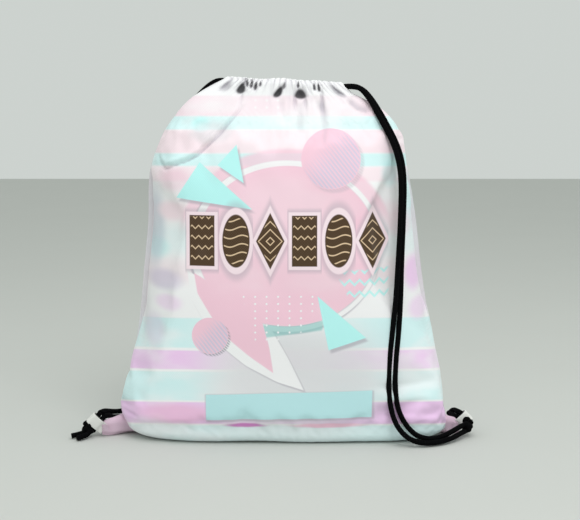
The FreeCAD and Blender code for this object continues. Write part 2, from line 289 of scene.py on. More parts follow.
@dataclass(frozen=True)
class PrintedCloth:
    """Thin woven cloth with a soft pastel print.

    The stripes run level round the whole bag; the motifs are on the front only.
    """

    name: str = "printed_cloth"
    motifs: bool = True
    white: Colour = dye(250, 249, 251)
    pink: Colour = dye(250, 206, 223)
    pale_pink: Colour = dye(253, 231, 239)
    strong_pink: Colour = dye(246, 184, 210)
    lilac_pink: Colour = dye(246, 208, 246)
    magenta: Colour = dye(206, 110, 190)
    aqua: Colour = dye(190, 250, 249)
    pale_aqua: Colour = dye(218, 248, 250)
    teal: Colour = dye(150, 208, 206)
    lilac: Colour = dye(214, 204, 226)
    blue_grey: Colour = dye(196, 208, 222)
    grey: Colour = dye(222, 221, 225)
    ink: Colour = dye(74, 50, 18)
    cream: Colour = dye(226, 196, 160)
    shadow: Colour = dye(172, 166, 178)
    # Near-black painted into the deepest fold pits as their shade.
    deep: Colour = dye(14, 12, 15)

    def stripes(self, graph: Graph, x: Num, y: Num, z: Num, wander: Num) -> bpy.types.NodeSocket:
        """Lay the level bands of watercolour.

        Args:
            graph: The material being built.
            x: Place across the bag in millimetres.
            y: Place through the bag in millimetres. The bands dip toward the side seams, where the cloth curves back.
            z: Height in millimetres.
            wander: A patchy pattern from 0 to 1.

        Returns:
            The colour of the bands.
        """
        bands = [
            (297.0, 315.0, 1.4, self.pink, 0.55, 0.2),
            (285.5, 297.0, 1.0, self.pale_aqua, 1.0, 0.3),
            (265.0, 285.0, 1.2, self.pale_pink, 0.95, 0.2),
            (253.5, 264.5, 1.2, self.pale_aqua, 1.0, 0.0),
            (240.0, 253.0, 2.0, self.pale_pink, 0.8, 0.0),
            (206.0, 222.0, 6.0, self.pale_pink, 0.6, 0.0),
            (176.0, 200.0, 7.0, self.pale_aqua, 0.4, 0.0),
            (150.0, 170.0, 7.0, self.pale_pink, 0.55, 0.0),
            (90.5, 117.6, 1.0, self.pale_aqua, 1.0, 0.8),
            (70.8, 88.0, 0.8, self.lilac_pink, 1.0, 0.75),
            (42.0, 68.5, 1.0, self.pale_aqua, 1.0, 0.85),
            (20.5, 40.5, 0.8, self.lilac_pink, 1.15, 0.3),
            (0.0, 19.0, 1.0, self.pale_aqua, 0.75, 0.3),
        ]
        colour: object = self.white
        middle = x.between(-62.0, 58.0, 34.0)
        level = z + (58.0 - abs(y)) * (1.0 - z / 340.0) * 0.235 + (wander - 0.5) * 1.6
        patch = 0.35 + 0.65 * wander.above(0.43, 0.1)
        for low, high, soft, tint, strength, fade in bands:
            mask = level.between(low, high, soft) * patch * (strength * (1.0 - fade * middle))
            colour = graph.mix(mask, colour, tint)
        return colour

    def patches(self, graph: Graph, colour: object, x: Num, z: Num) -> bpy.types.NodeSocket:
        """Add the loose washes of colour toward the edges and down low; the blue-grey wash down the left edge is partly
        print tint and partly painted shade, and the grey wash makes the middle darker towards the bottom.
        """
        spots = [
            # Grey wash low in the middle: darker towards the bottom.
            (16.0, 66.0, 82.0, 46.0, self.grey, 0.75),
            (-98.0, 240.0, 15.0, 10.0, self.strong_pink, 0.35),
            (-75.0, 289.0, 8.0, 6.0, self.aqua, 0.7),
            (-66.0, 282.0, 18.0, 9.0, self.grey, 0.6),
            (-116.0, 178.0, 12.0, 9.0, self.aqua, 0.45),
            # Blue-grey wash down the left edge: partly print tint, partly painted shade where the edge turns away from
            # the light.
            (-118.0, 196.0, 10.0, 34.0, self.blue_grey, 0.6),
            (-108.0, 150.0, 16.0, 9.0, self.lilac, 0.7),
            (-104.0, 130.0, 12.0, 7.0, self.lilac_pink, 0.5),
            (-100.0, 212.0, 14.0, 8.0, self.pale_pink, 0.9),
            (-118.0, 104.0, 10.0, 14.0, self.lilac, 0.5),
            (-96.0, 30.0, 34.0, 9.0, self.strong_pink, 0.45),
            (-35.0, 19.5, 17.0, 2.0, self.magenta, 0.9),
            (40.0, 19.5, 30.0, 2.2, self.strong_pink, 0.8),
            (96.0, 246.0, 8.0, 12.0, self.aqua, 0.4),
            (117.0, 220.0, 9.0, 26.0, self.pale_aqua, 0.9),
            (119.0, 154.0, 9.0, 15.0, self.lilac_pink, 0.9),
            (124.0, 122.0, 10.0, 10.0, self.lilac_pink, 0.6),
            (106.0, 200.0, 12.0, 12.0, self.pink, 0.4),
            (-55.0, 226.0, 24.0, 10.0, self.pale_aqua, 0.5),
        ]
        for cx, cz, rx, rz, tint, strength in spots:
            near = self.oval(x, z, cx, cz, rx, rz)
            colour = graph.mix(near.below(1.0, 0.45) * strength, colour, tint)
        return colour

    def oval(self, x: Num, z: Num, cx: float, cz: float, rx: float, rz: float) -> Num:
        """Return the distance from an oval's middle, where 1 is its rim."""
        return ((x - cx) / rx).math("POWER", 2.0).math("ADD", ((z - cz) / rz).math("POWER", 2.0)).math("SQRT")

    def corner_cut(self, x: Num, z: Num, corners: Sequence[tuple[float, float]], soft: float) -> Num:
        """Return the mask of a convex shape.

        Args:
            x: Place across the front.
            z: Place up the front.
            corners: Its corners, clockwise.
            soft: Half the width of its edge.

        Returns:
            The mask.
        """
        mask: Num | None = None
        for (ax, az), (bx, bz) in zip(corners, (*corners[1:], corners[0])):
            size = math.hypot(bx - ax, bz - az)
            inside = ((x - ax) * ((bz - az) / size) - (z - az) * ((bx - ax) / size)).above(0.0, soft)
            mask = inside if mask is None else mask * inside
        return mask

    def bubble(self, graph: Graph, colour: object, x: Num, z: Num, wander: Num) -> bpy.types.NodeSocket:
        """Draw the round wash with its white rim and its hanging tip."""
        ring = self.oval(x, z, 2.0, 182.0, 86.0, 76.0)
        slid = self.oval(x, z, 0.8, 180.4, 86.6, 76.6)
        tail = [(-86.0, 160.0), (-20.0, 124.0), (4.0, 82.0), (18.0, 52.5), (-6.0, 60.0), (-34.0, 75.0), (-55.0, 92.0)]
        tail += [(-70.0, 112.0), (-83.0, 135.0)]
        core = [(-80.0, 158.0), (-22.0, 126.0), (-13.0, 92.0), (-9.5, 68.5), (-30.0, 83.0), (-50.0, 100.0)]
        core += [(-65.0, 120.0), (-77.0, 140.0)]
        outer = self.corner_cut(x, z, tail, 0.7)
        outer_slid = self.corner_cut(x, z, [(cx + 1.4, cz - 1.6) for cx, cz in tail], 1.2)
        inner = self.corner_cut(x, z, core, 0.6)
        colour = graph.mix(ring.below(1.13, 0.03) * z.above(205.0, 20.0) * 0.75, colour, self.pink)
        colour = graph.mix(slid.below(1.0, 0.016).math("MAXIMUM", outer_slid) * 0.75, colour, self.shadow)
        colour = graph.mix(ring.below(1.0, 0.008).math("MAXIMUM", outer), colour, self.white)
        rim = self.oval(x, z, 3.4, 181.4, 80.6, 70.8)
        colour = graph.mix(rim.below(1.0, 0.012) * 0.5, colour, self.shadow)
        under = self.corner_cut(x, z, [(-22.0, 112.0), (36.0, 116.0), (34.0, 107.5), (-19.0, 100.5)], 1.2)
        face = self.oval(x, z, 3.0, 182.2, 80.4, 71.0).below(1.0, 0.008).math("MAXIMUM", inner)
        colour = graph.mix(face, colour, self.pink)
        colour = graph.mix(under * (1.0 - face) * 0.75, colour, self.teal)
        haze = ring.below(0.86, 0.25) * wander.above(0.5, 0.14) * 0.4
        return graph.mix(haze, colour, self.pale_pink)

    def motif_shapes(self, graph: Graph, colour: object, x: Num, z: Num) -> bpy.types.NodeSocket:
        """Draw the circles, triangles, bar, squiggles and dots round the bubble."""
        fine = ((x + z * 0.8) * 1.65).sine().above(0.1, 0.35)
        coarse = ((x * 0.8 + z) * 2.4).sine().above(0.0, 0.3)
        for cx, cz, radius, blend, hatch in ((42.0, 259.0, 26.5, 0.9, 0.15), (-66.0, 102.0, 16.4, 1.0, 0.9)):
            slid = self.oval(x, z, cx + radius * 0.12, cz - radius * 0.12, radius, radius)
            disc = self.oval(x, z, cx, cz, radius, radius)
            low = ((x - cx) * 0.7 - (z - cz) * 0.7).above(-radius * 0.2, radius * 0.5)
            colour = graph.mix(slid.below(1.0, 0.06) * low * (0.3 + hatch * coarse) * 0.8, colour, self.shadow)
            colour = graph.mix(disc.below(1.0, 0.015), colour, self.pink)
            colour = graph.mix(disc.below(0.98, 0.02) * low * blend * (0.3 + 0.7 * fine), colour, self.lilac)
        wedges = [
            [(-75.0, 256.0), (-28.0, 215.0), (-96.0, 224.5)],
            [(-42.0, 271.5), (-35.5, 238.0), (-59.0, 253.5)],
            [(30.0, 138.0), (73.5, 100.0), (40.0, 89.5)],
        ]
        for corners in wedges:
            slid = [(cx + 2.0, cz - 3.0) for cx, cz in corners]
            colour = graph.mix(self.corner_cut(x, z, slid, 1.6) * 0.65, colour, self.shadow)
            colour = graph.mix(self.corner_cut(x, z, corners, 0.4), colour, self.aqua)
        smear = self.corner_cut(x, z, [(-71.0, 49.0), (81.0, 52.0), (81.5, 25.5), (-70.0, 22.4)], 1.2)
        bar = self.corner_cut(x, z, [(-70.0, 48.5), (79.5, 52.0), (79.0, 27.5), (-70.0, 25.0)], 0.5)
        colour = graph.mix(smear * 0.55, colour, self.shadow)
        colour = graph.mix(bar, colour, self.aqua)
        colour = graph.mix(bar * 0.4, colour, self.blue_grey)
        wave = abs((x / 9.0).part() - 0.5) * 9.0
        squiggle = abs(((z + wave) / 10.5).part() - 0.5).below(0.13, 0.04)
        patch = self.corner_cut(x, z, [(46.0, 160.0), (94.0, 162.0), (94.0, 136.0), (58.0, 136.0)], 1.5)
        colour = graph.mix(squiggle * patch * 0.85, colour, self.aqua)
        dots = self.oval((x / 10.2).part() * 10.2, (z / 6.4).part() * 6.4, 5.1, 3.2, 0.9, 0.9).below(1.0, 0.35)
        grid = self.corner_cut(x, z, [(-38.0, 142.0), (30.0, 142.0), (22.0, 108.0), (-24.0, 92.0)], 1.0)
        upper = self.corner_cut(x, z, [(-34.0, 311.0), (-4.0, 311.0), (-4.0, 299.0), (-34.0, 299.0)], 1.0)
        grid = grid.math("MAXIMUM", upper)
        return graph.mix(dots * grid, colour, self.white)

    def ornaments(self, graph: Graph, colour: object, x: Num, z: Num) -> bpy.types.NodeSocket:
        """Draw the row of six dark blocks with cream line work.

        Args:
            graph: The material being built.
            colour: The colour under them.
            x: Place across the front in millimetres.
            z: Place up the front in millimetres.

        Returns:
            The colour with the blocks on it.
        """
        pitch = 30.4
        across = (x + 88.0) / pitch
        cell = across.math("FLOOR")
        inside = across.above(0.0, 0.001) * across.below(6.0, 0.001)
        u = (across.part() - 0.5) * pitch
        v = z - 187.0
        kind = cell.math("MODULO", 3.0)
        block = abs(u).math("SUBTRACT", 11.2).math("MAXIMUM", abs(v) - 22.5)
        egg = (self.oval(u, v, 0.0, 0.0, 12.2, 23.5) - 1.0) * 12.0
        kite = (abs(u) / 12.6 + abs(v) / 25.0 - 1.0) * 11.0
        shape = kind.below(0.5, 0.01) * block + kind.between(0.5, 1.5, 0.01) * egg + kind.above(1.5, 0.01) * kite
        tooth = abs((u / 6.0).part() - 0.5) * 6.0
        zigzag = abs(((v + tooth) / 9.0).part() - 0.5).below(0.07, 0.03)
        scallop = abs(((v - ((u / 3.6).sine() * 1.6)) / 7.5).part() - 0.5).below(0.08, 0.03)
        diamond = abs(((abs(u) + abs(v)) / 7.0).part() - 0.5).below(0.09, 0.03)
        lines = kind.below(0.5, 0.01) * zigzag + kind.between(0.5, 1.5, 0.01) * scallop
        lines = lines + kind.above(1.5, 0.01) * diamond
        shade = shape.below(5.6, 2.4) * inside
        halo = shape.below(3.0, 0.5) * inside
        dark = shape.below(0.0, 0.35) * inside
        colour = graph.mix(shade * 0.45, colour, self.shadow)
        colour = graph.mix(halo, colour, self.pale_pink)
        colour = graph.mix(dark, colour, self.ink)
        return graph.mix(dark * lines * shape.below(-1.2, 0.3), colour, self.cream)

    def make(self) -> bpy.types.Material:
        """Build the material.

        Returns:
            The finished cloth.
        """
        graph = Graph(self.name)
        x, y, z = graph.place()
        wander = graph.noise(15.0, 3.5, (0.7, 0.7, 1.5))
        broad = graph.noise(9.0, 2.0)
        colour: object = self.stripes(graph, x, y, z, wander)
        if self.motifs:
            edge = (broad - 0.5) * 1.6
            px, pz = x + edge, z + edge
            colour = self.patches(graph, colour, px, pz)
            colour = self.bubble(graph, colour, x, z, wander)
            colour = self.motif_shapes(graph, colour, x, z)
            colour = self.ornaments(graph, colour, x, z)
        # Painted shade: grey in the drawn folds, crease grooves and ruffle dips darkens the print.
        shade, painted_pit_shade = graph.strip("folds")
        colour = graph.mix(shade * 0.7, colour, self.shadow)
        # Painted shade: the deepest fold pits are painted near-black.
        colour = graph.mix(painted_pit_shade, colour, self.deep)
        u, v = graph.strip("weave")
        warp = (u * 2600.0).sine()
        weft = (v * 2600.0).sine()
        weave = warp * weft
        colour = graph.mix(weave.above(0.2, 0.6) * 0.06, colour, self.shadow)
        slub = graph.noise(420.0, 2.0)
        relief = weave * 0.03 + slub * 0.08 + graph.noise(60.0, 2.0) * 0.25
        return graph.surface(
            colour, 0.72 + 0.12 * slub, relief, 0.35, Sheen_Weight=0.25, Sheen_Roughness=0.5, Specular_IOR_Level=0.35
        )


@dataclass(frozen=True)
class BraidFinish:
    """Matt black cord, braided over and under."""

    name: str = "black_cord"
    dark: Colour = dye(5, 5, 6)
    worn: Colour = dye(14, 14, 16)

    def make(self) -> bpy.types.Material:
        """Return the cord material, which follows the map laid along each cord."""
        graph = Graph(self.name)
        u, v = graph.strip("braid")
        one = ((u * 4.0 + v) * math.tau).sine()
        two = ((u * 4.0 - v) * math.tau).sine()
        plait = one * two
        fibre = ((u * 36.0 + v * 5.0) * math.tau).sine()
        fuzz = graph.noise(900.0, 2.0)
        colour = graph.mix(plait.above(0.1, 0.7) * (0.4 + 0.5 * fuzz), self.dark, self.worn)
        relief = plait * 0.2 + fibre * 0.03 + fuzz * 0.08
        return graph.surface(colour, 0.85 + 0.12 * fuzz, relief, 0.6, Specular_IOR_Level=0.05)


@dataclass(frozen=True)
class PlainWeave:
    """Unprinted cloth, webbing or thread in one colour."""

    name: str
    colour: Colour
    pitch: float = 1.1
    relief: float = 0.2

    def make(self) -> bpy.types.Material:
        """Return a woven finish whose ribs follow object coordinates."""
        graph = Graph(self.name)
        x, y, z = graph.place()
        rib = ((x * 0.7 + z * 0.72) * (math.tau / self.pitch)).sine()
        cross = ((x * 0.72 - z * 0.7 + y * 0.4) * (math.tau / self.pitch)).sine()
        fuzz = graph.noise(700.0, 2.0)
        tint = tuple(c * 0.8 for c in self.colour[:3]) + (1.0,)
        colour = graph.mix((rib * cross).above(0.3, 0.6) * 0.35 + fuzz * 0.2, self.colour, tint)
        height = rib * cross * self.relief + fuzz * 0.1
        return graph.surface(colour, 0.78 + 0.1 * fuzz, height, 0.5, Sheen_Weight=0.2, Specular_IOR_Level=0.3)


# ---------------------------------------------------------------- mesh helpers


def mesh_object(name: str, points: Sequence, faces: Sequence, smooth: bool = True) -> bpy.types.Object:
    """Make a linked object from points in millimetres.

    Args:
        name: The object's name.
        points: The points.
        faces: The faces, as point numbers.
        smooth: Whether it is shaded smooth.

    Returns:
        The object, at the origin.
    """
    mesh = bpy.data.meshes.new(name)
    mesh.from_pydata((np.asarray(points, dtype=float) * MM).tolist(), [], [tuple(f) for f in faces])
    mesh.validate()
    mesh.polygons.foreach_set("use_smooth", [smooth] * len(mesh.polygons))
    made = bpy.data.objects.new(name, mesh)
    bpy.context.scene.collection.objects.link(made)
    return made


def baked(piece: bpy.types.Object) -> bpy.types.Object:
    """Turn a piece's modifiers into plain mesh.

    Args:
        piece: The piece.

    Returns:
        The same piece, with no modifiers.
    """
    seen = piece.evaluated_get(bpy.context.evaluated_depsgraph_get())
    mesh = bpy.data.meshes.new_from_object(seen)
    piece.modifiers.clear()
    if piece.type == "MESH":
        piece.data = mesh
        return piece
    made = bpy.data.objects.new(piece.name + "_mesh", mesh)
    bpy.context.scene.collection.objects.link(made)
    return made


def points_of(piece: bpy.types.Object) -> np.ndarray:
    """Return a mesh's points in millimetres."""
    flat = np.empty(len(piece.data.vertices) * 3)
    piece.data.vertices.foreach_get("co", flat)
    return flat.reshape(-1, 3) / MM


def set_points(piece: bpy.types.Object, points: np.ndarray) -> None:
    """Move a mesh's points, given in millimetres."""
    piece.data.vertices.foreach_set("co", (points * MM).ravel())
    piece.data.update()


def corners_of(piece: bpy.types.Object) -> np.ndarray:
    """Return the point that each face corner uses."""
    loops = np.empty(len(piece.data.loops), dtype=int)
    piece.data.loops.foreach_get("vertex_index", loops)
    return loops


def normals_of(piece: bpy.types.Object) -> np.ndarray:
    """Return a mesh's point normals."""
    flat = np.empty(len(piece.data.vertices) * 3)
    piece.data.vertex_normals.foreach_get("vector", flat)
    return flat.reshape(-1, 3)


def dressed(piece: bpy.types.Object, finish: bpy.types.Material) -> bpy.types.Object:
    """Give a piece one material."""
    piece.data.materials.clear()
    piece.data.materials.append(finish)
    return piece


def monotone(xs: Sequence[float], ys: Sequence[float], at: np.ndarray) -> np.ndarray:
    """Run a smooth line through values without overshooting them.

    Args:
        xs: Rising places.
        ys: The value at each place.
        at: Where it is read.

    Returns:
        The values there.
    """
    x = np.asarray(xs, dtype=float)
    y = np.asarray(ys, dtype=float)
    step = np.diff(x)
    slope = np.diff(y) / step
    tangent = np.zeros(len(x))
    tangent[0], tangent[-1] = slope[0], slope[-1]
    for i in range(1, len(x) - 1):
        if slope[i - 1] * slope[i] > 0:
            tangent[i] = 2 * slope[i - 1] * slope[i] / (slope[i - 1] + slope[i])
    spot = np.clip(np.searchsorted(x, at, side="right") - 1, 0, len(x) - 2)
    t = (np.clip(at, x[0], x[-1]) - x[spot]) / step[spot]
    low, high = y[spot], y[spot + 1]
    rise = step[spot]
    return (
        (2 * t**3 - 3 * t**2 + 1) * low
        + (t**3 - 2 * t**2 + t) * rise * tangent[spot]
        + (3 * t**2 - 2 * t**3) * high
        + (t**3 - t**2) * rise * tangent[spot + 1]
    )


# ---------------------------------------------------------------- the bag's form


@dataclass(frozen=True)
class BagForm:
    """The shape that the cloth, the hems and the seams all follow, in millimetres."""

    heights: tuple[float, ...] = (0, 3, 9, 30, 60, 100, 150, 200, 235, 255, 275, 292, 304, 313, 320, 325, 328.4)
    left: tuple[float, ...] = (
        -129, -136, -145, -150.5, -145.5, -137.5, -132, -127, -126, -122.5, -113.5, -101, -90, -78, -67, -58.5, -51.5
    )
    right: tuple[float, ...] = (
        137, 147, 152, 150.5, 145, 138, 129.5, 123.5, 117.5, 113.5, 109, 101.5, 91.5, 77, 62, 57, 54
    )
    depth: tuple[float, ...] = (44, 52, 57, 60, 61, 60.5, 58, 54, 49, 44.5, 39, 32.5, 27, 23.4, 21.6, 20, 15.5)
    front_depth: tuple[float, ...] = (
        46, 53, 57, 59, 58.5, 58.5, 57, 53.5, 49, 44.5, 39, 32.5, 27, 23.4, 21.6, 20, 15.5
    )
    front_roundness: tuple[float, ...] = (
        3.8, 3.8, 3.8, 3.6, 3.2, 2.9, 2.7, 2.6, 2.5, 2.4, 2.3, 2.3, 2.3, 2.3, 2.3, 2.3, 2.3
    )
    roundness: tuple[float, ...] = (
        2.7, 2.7, 2.7, 2.6, 2.5, 2.5, 2.4, 2.4, 2.4, 2.4, 2.3, 2.3, 2.3, 2.3, 2.3, 2.3, 2.3
    )
    inner_rows: tuple[tuple[float, float, float, float], ...] = (
        (328.6, -50.6, 53.0, 13.6), (327.0, -49.8, 52.0, 11.6), (324.0, -49.4, 51.6, 10.6), (317.0, -49.0, 51.0, 10.2),
    )
    tilt: float = -0.05
    tilt_starts: float = 270.0
    mouth_height: float = 320.4
    mouth_left: float = -50.5
    mouth_right: float = 53.5
    mouth_depth: float = 15.5
    mouth_roundness: float = 2.3

    def lean(self, x: np.ndarray, z: float) -> np.ndarray:
        """Return how far points rise because the mouth leans."""
        share = (z - self.tilt_starts) / (313.4 - self.tilt_starts)
        return self.tilt * x * min(1.0, max(0.0, share))

    def row(self, z: float, side: Face, count: int, shrink: float = 1.0) -> np.ndarray:
        """Lay one level row of cloth across a panel, from its left seam to its right.

        Args:
            z: Height of the row.
            side: Which panel.
            count: How many points, evenly spaced along the cloth.
            shrink: Share of the depth, below 1 on the base.

        Returns:
            The points.
        """
        at = np.array([z])
        left, right = monotone(self.heights, self.left, at)[0], monotone(self.heights, self.right, at)[0]
        front = side is Face.FRONT
        depth = monotone(self.heights, self.front_depth if front else self.depth, at)[0] * shrink
        power = monotone(self.heights, self.front_roundness if front else self.roundness, at)[0]
        return self.section(z, left, right, depth, power, side, count, 0.93 + 0.07 * shrink)

    def section(
        self,
        z: float,
        left: float,
        right: float,
        depth: float,
        power: float,
        side: Face,
        count: int,
        narrow: float = 1.0,
    ) -> np.ndarray:
        """Lay one level row of cloth of a given width and depth.

        Args:
            z: Height of the row.
            left: Its left end.
            right: Its right end.
            depth: How far it stands out in the middle.
            power: How square the row is.
            side: Which panel.
            count: How many points.
            narrow: Share of the width that is used.

        Returns:
            The points.
        """
        angle = np.linspace(math.pi, 0, 721)
        across = np.sign(np.cos(angle)) * np.abs(np.cos(angle)) ** (2 / power)
        along = np.abs(np.sin(angle)) ** (2 / power)
        along[0] = along[-1] = 0.0
        reach = (right - left) / 2 * narrow
        x = (left + right) / 2 + reach * across
        y = side.value * depth * along
        run = np.concatenate([[0], np.cumsum(np.hypot(np.diff(x), np.diff(y)))])
        even = np.linspace(0, run[-1], count)
        x, y = np.interp(even, run, x), np.interp(even, run, y)
        return np.column_stack([x, y, z + self.lean(x, z)])

    def mouth(self, degrees: float, side: Face) -> tuple[np.ndarray, np.ndarray]:
        """Return a point on the middle line of a tunnel and the outward direction there."""
        angle = math.radians(degrees)
        reach = (self.mouth_right - self.mouth_left) / 2
        cosine, power = math.cos(angle), self.mouth_roundness
        across = math.copysign(abs(cosine) ** (2 / power), cosine)
        along = abs(math.sin(angle)) ** (2 / power)
        x = (self.mouth_left + self.mouth_right) / 2 + reach * across
        outward = np.array(
            [
                math.copysign(abs(across) ** (power - 1), across) / reach,
                side.value * along ** (power - 1) / self.mouth_depth,
                0.0,
            ]
        )
        centre = np.array([x, side.value * self.mouth_depth * along, self.mouth_height + self.tilt * x])
        return centre, outward / np.linalg.norm(outward)


@dataclass(frozen=True)
class Pleat:
    """One fold drawn in at the mouth, in millimetres.

    The fold runs from the top edge down the panel and widens as it fades. With a reach it starts narrow, widens to its
    deepest place and ends sharply below it.
    """

    top: float
    foot: float
    length: float
    width: float
    depth: float
    deepest: float = 0.0
    reach: float = 0.0
    # How dark the deepest part of the fold is painted, as painted shade, near-black at 1.
    painted_pit_shade: float = 0.0

    def press(self, x: np.ndarray, drop: np.ndarray) -> np.ndarray:
        """Return how far the cloth is drawn in.

        Args:
            x: Places across the panel.
            drop: Distances below the top edge.

        Returns:
            Depths, 0 away from the fold.
        """
        share = np.clip(drop / self.length, 0, 1)
        middle = self.top + (self.foot - self.top) * share
        width = self.width * (0.7 + 0.9 * share)
        if self.reach:
            reach = np.where(drop < self.deepest, self.reach, self.reach * 0.55)
            along = np.exp(-(((drop - self.deepest) / reach) ** 2))
            width = self.width * (0.4 + 0.75 * np.clip(drop / self.deepest, 0, 1.1))
        else:
            along = (1 - share) ** 1.4
        return self.depth * along * np.exp(-(np.abs((x - middle) / width) ** 2.4))


@dataclass(frozen=True)
class Ruffles:
    """The small waves of cloth along the gathered top edge, in millimetres."""

    crests: tuple[float, ...]
    out: float = 1.5
    up: float = 1.3
    fades: float = 11.0

    def wave(self, x: np.ndarray) -> np.ndarray:
        """Return the height of the nearest wave, from 0 in a dip to 1 on a crest."""
        edges = np.array(self.crests)
        spot = np.clip(np.searchsorted(edges, x) - 1, 0, len(edges) - 2)
        share = np.clip((x - edges[spot]) / (edges[spot + 1] - edges[spot]), 0, 1)
        return np.abs(np.sin(math.pi * share)) ** 0.6


FRONT_RUFFLES = Ruffles(
    (
        -58, -47, -41.5, -37, -33.5, -30, -26.5, -23.5, -19.5, -14.5, -8, -3.5, 1.5,
        6.5, 10.5, 14.5, 18, 23, 26, 29.5, 33, 38.5, 45, 50, 60,
    )
)
BACK_RUFFLES = Ruffles(
    (-60, -50, -44, -39, -32, -28, -22, -18, -13, -7, -3, 3, 8, 12, 19, 23, 29, 33, 38, 44, 49, 60)
)
FRONT_PLEATS = (
    Pleat(-35.6, -45.0, 30.0, 3.4, 5.4, 10.5, 7.0, painted_pit_shade=0.9),
    Pleat(-34.5, -42.0, 34.0, 1.2, 4.4, painted_pit_shade=0.3),
    Pleat(-33.6, -33.0, 16.0, 1.1, 4.8, 5.0, 5.5, painted_pit_shade=0.6),
    Pleat(-28.6, -31.0, 16.0, 1.1, 5.0, 5.5, 6.0, painted_pit_shade=0.75),
    Pleat(-24.4, -28.0, 20.0, 1.2, 5.2, 7.5, 5.4, painted_pit_shade=0.75),
    Pleat(-21.0, -22.0, 14.0, 0.9, 3.6, 5.0, 4.0, painted_pit_shade=0.5),
    Pleat(1.6, -8.6, 18.0, 3.0, 5.4, 12.4, 7.0, painted_pit_shade=0.9),
    Pleat(1.6, -3.0, 16.0, 1.2, 4.2, 6.5, 4.4, painted_pit_shade=0.6),
    Pleat(14.8, 15.0, 34.0, 4.8, 5.4, 13.0, 6.0, painted_pit_shade=0.9),
    Pleat(13.0, 12.4, 18.0, 1.0, 4.2, 4.5, 4.0, painted_pit_shade=0.7),
    Pleat(10.6, 9.0, 46.0, 1.5, 3.4, 18.0, 15.0),
    Pleat(18.6, 20.0, 46.0, 1.5, 3.2, 18.0, 14.0),
    Pleat(27.0, 28.0, 16.0, 1.0, 4.6, 6.0, 4.4, painted_pit_shade=0.6),
    Pleat(30.6, 33.0, 18.0, 1.1, 4.8, 6.5, 5.0, painted_pit_shade=0.75),
    Pleat(33.4, 37.0, 52.0, 1.6, 3.6, 20.0, 14.0),
    Pleat(38.0, 66.0, 22.0, 3.4, 4.2, 9.0, 8.0, painted_pit_shade=0.2),
    Pleat(-47.0, -62.0, 22.0, 4.0, 4.4, 9.0, 7.0, painted_pit_shade=0.15),
    Pleat(-12.0, -14.0, 30.0, 1.6, 1.8),
    Pleat(5.4, 4.0, 40.0, 1.6, 1.8),
    Pleat(23.0, 25.0, 36.0, 1.8, 1.6),
    Pleat(45.0, 60.0, 30.0, 1.8, 2.2),
)
BACK_PLEATS = (
    Pleat(-43.0, -60.0, 34.0, 2.2, 4.6, 8.0, 9.0),
    Pleat(-33.0, -42.0, 30.0, 1.5, 5.0),
    Pleat(-24.0, -28.0, 22.0, 1.4, 5.2, 7.0, 6.0, painted_pit_shade=0.8),
    Pleat(-15.0, -20.0, 44.0, 2.0, 4.0),
    Pleat(-5.0, -6.0, 24.0, 1.5, 5.4, 8.0, 6.0, painted_pit_shade=0.8),
    Pleat(4.0, 6.0, 40.0, 1.6, 3.6),
    Pleat(12.0, 14.0, 22.0, 2.4, 5.8, 9.0, 5.0, painted_pit_shade=0.8),
    Pleat(21.0, 26.0, 44.0, 1.6, 4.2),
    Pleat(31.0, 38.0, 22.0, 1.4, 5.0, 7.0, 6.0, painted_pit_shade=0.8),
    Pleat(41.0, 60.0, 34.0, 2.2, 4.4),
)


@dataclass(frozen=True)
class Crease:
    """One fold line pressed into a panel, as points across and up it."""

    line: tuple[tuple[float, float], ...]
    depth: float
    width: float
    lip: float = 0.0

    def press(self, x: np.ndarray, z: np.ndarray) -> np.ndarray:
        """Return how far the cloth stands out because of this crease.

        Args:
            x: Places across the panel.
            z: Places up the panel.

        Returns:
            Offsets along the outward direction, negative in the crease.
        """
        best = np.full(x.shape, 1e9)
        side = np.zeros(x.shape)
        ends = np.ones(x.shape)
        stops = np.array(self.line)
        lengths = np.hypot(*np.diff(stops, axis=0).T)
        total = lengths.sum()
        start = 0.0
        for (ax, az), (bx, bz), size in zip(stops[:-1], stops[1:], lengths):
            dx, dz = (bx - ax) / size, (bz - az) / size
            run = np.clip((x - ax) * dx + (z - az) * dz, 0, size)
            away = np.hypot(x - ax - run * dx, z - az - run * dz)
            nearer = away < best
            best = np.where(nearer, away, best)
            side = np.where(nearer, (x - ax) * dz - (z - az) * dx, side)
            share = (start + run) / total
            ends = np.where(nearer, np.clip(4 * share * (1 - share) * 1.6, 0, 1), ends)
            start += size
        groove = -self.depth * np.exp(-((best / self.width) ** 2))
        swell = self.lip * np.exp(-(((best - 2.2 * self.width) / (1.6 * self.width)) ** 2)) * (side > 0)
        return (groove + swell) * ends


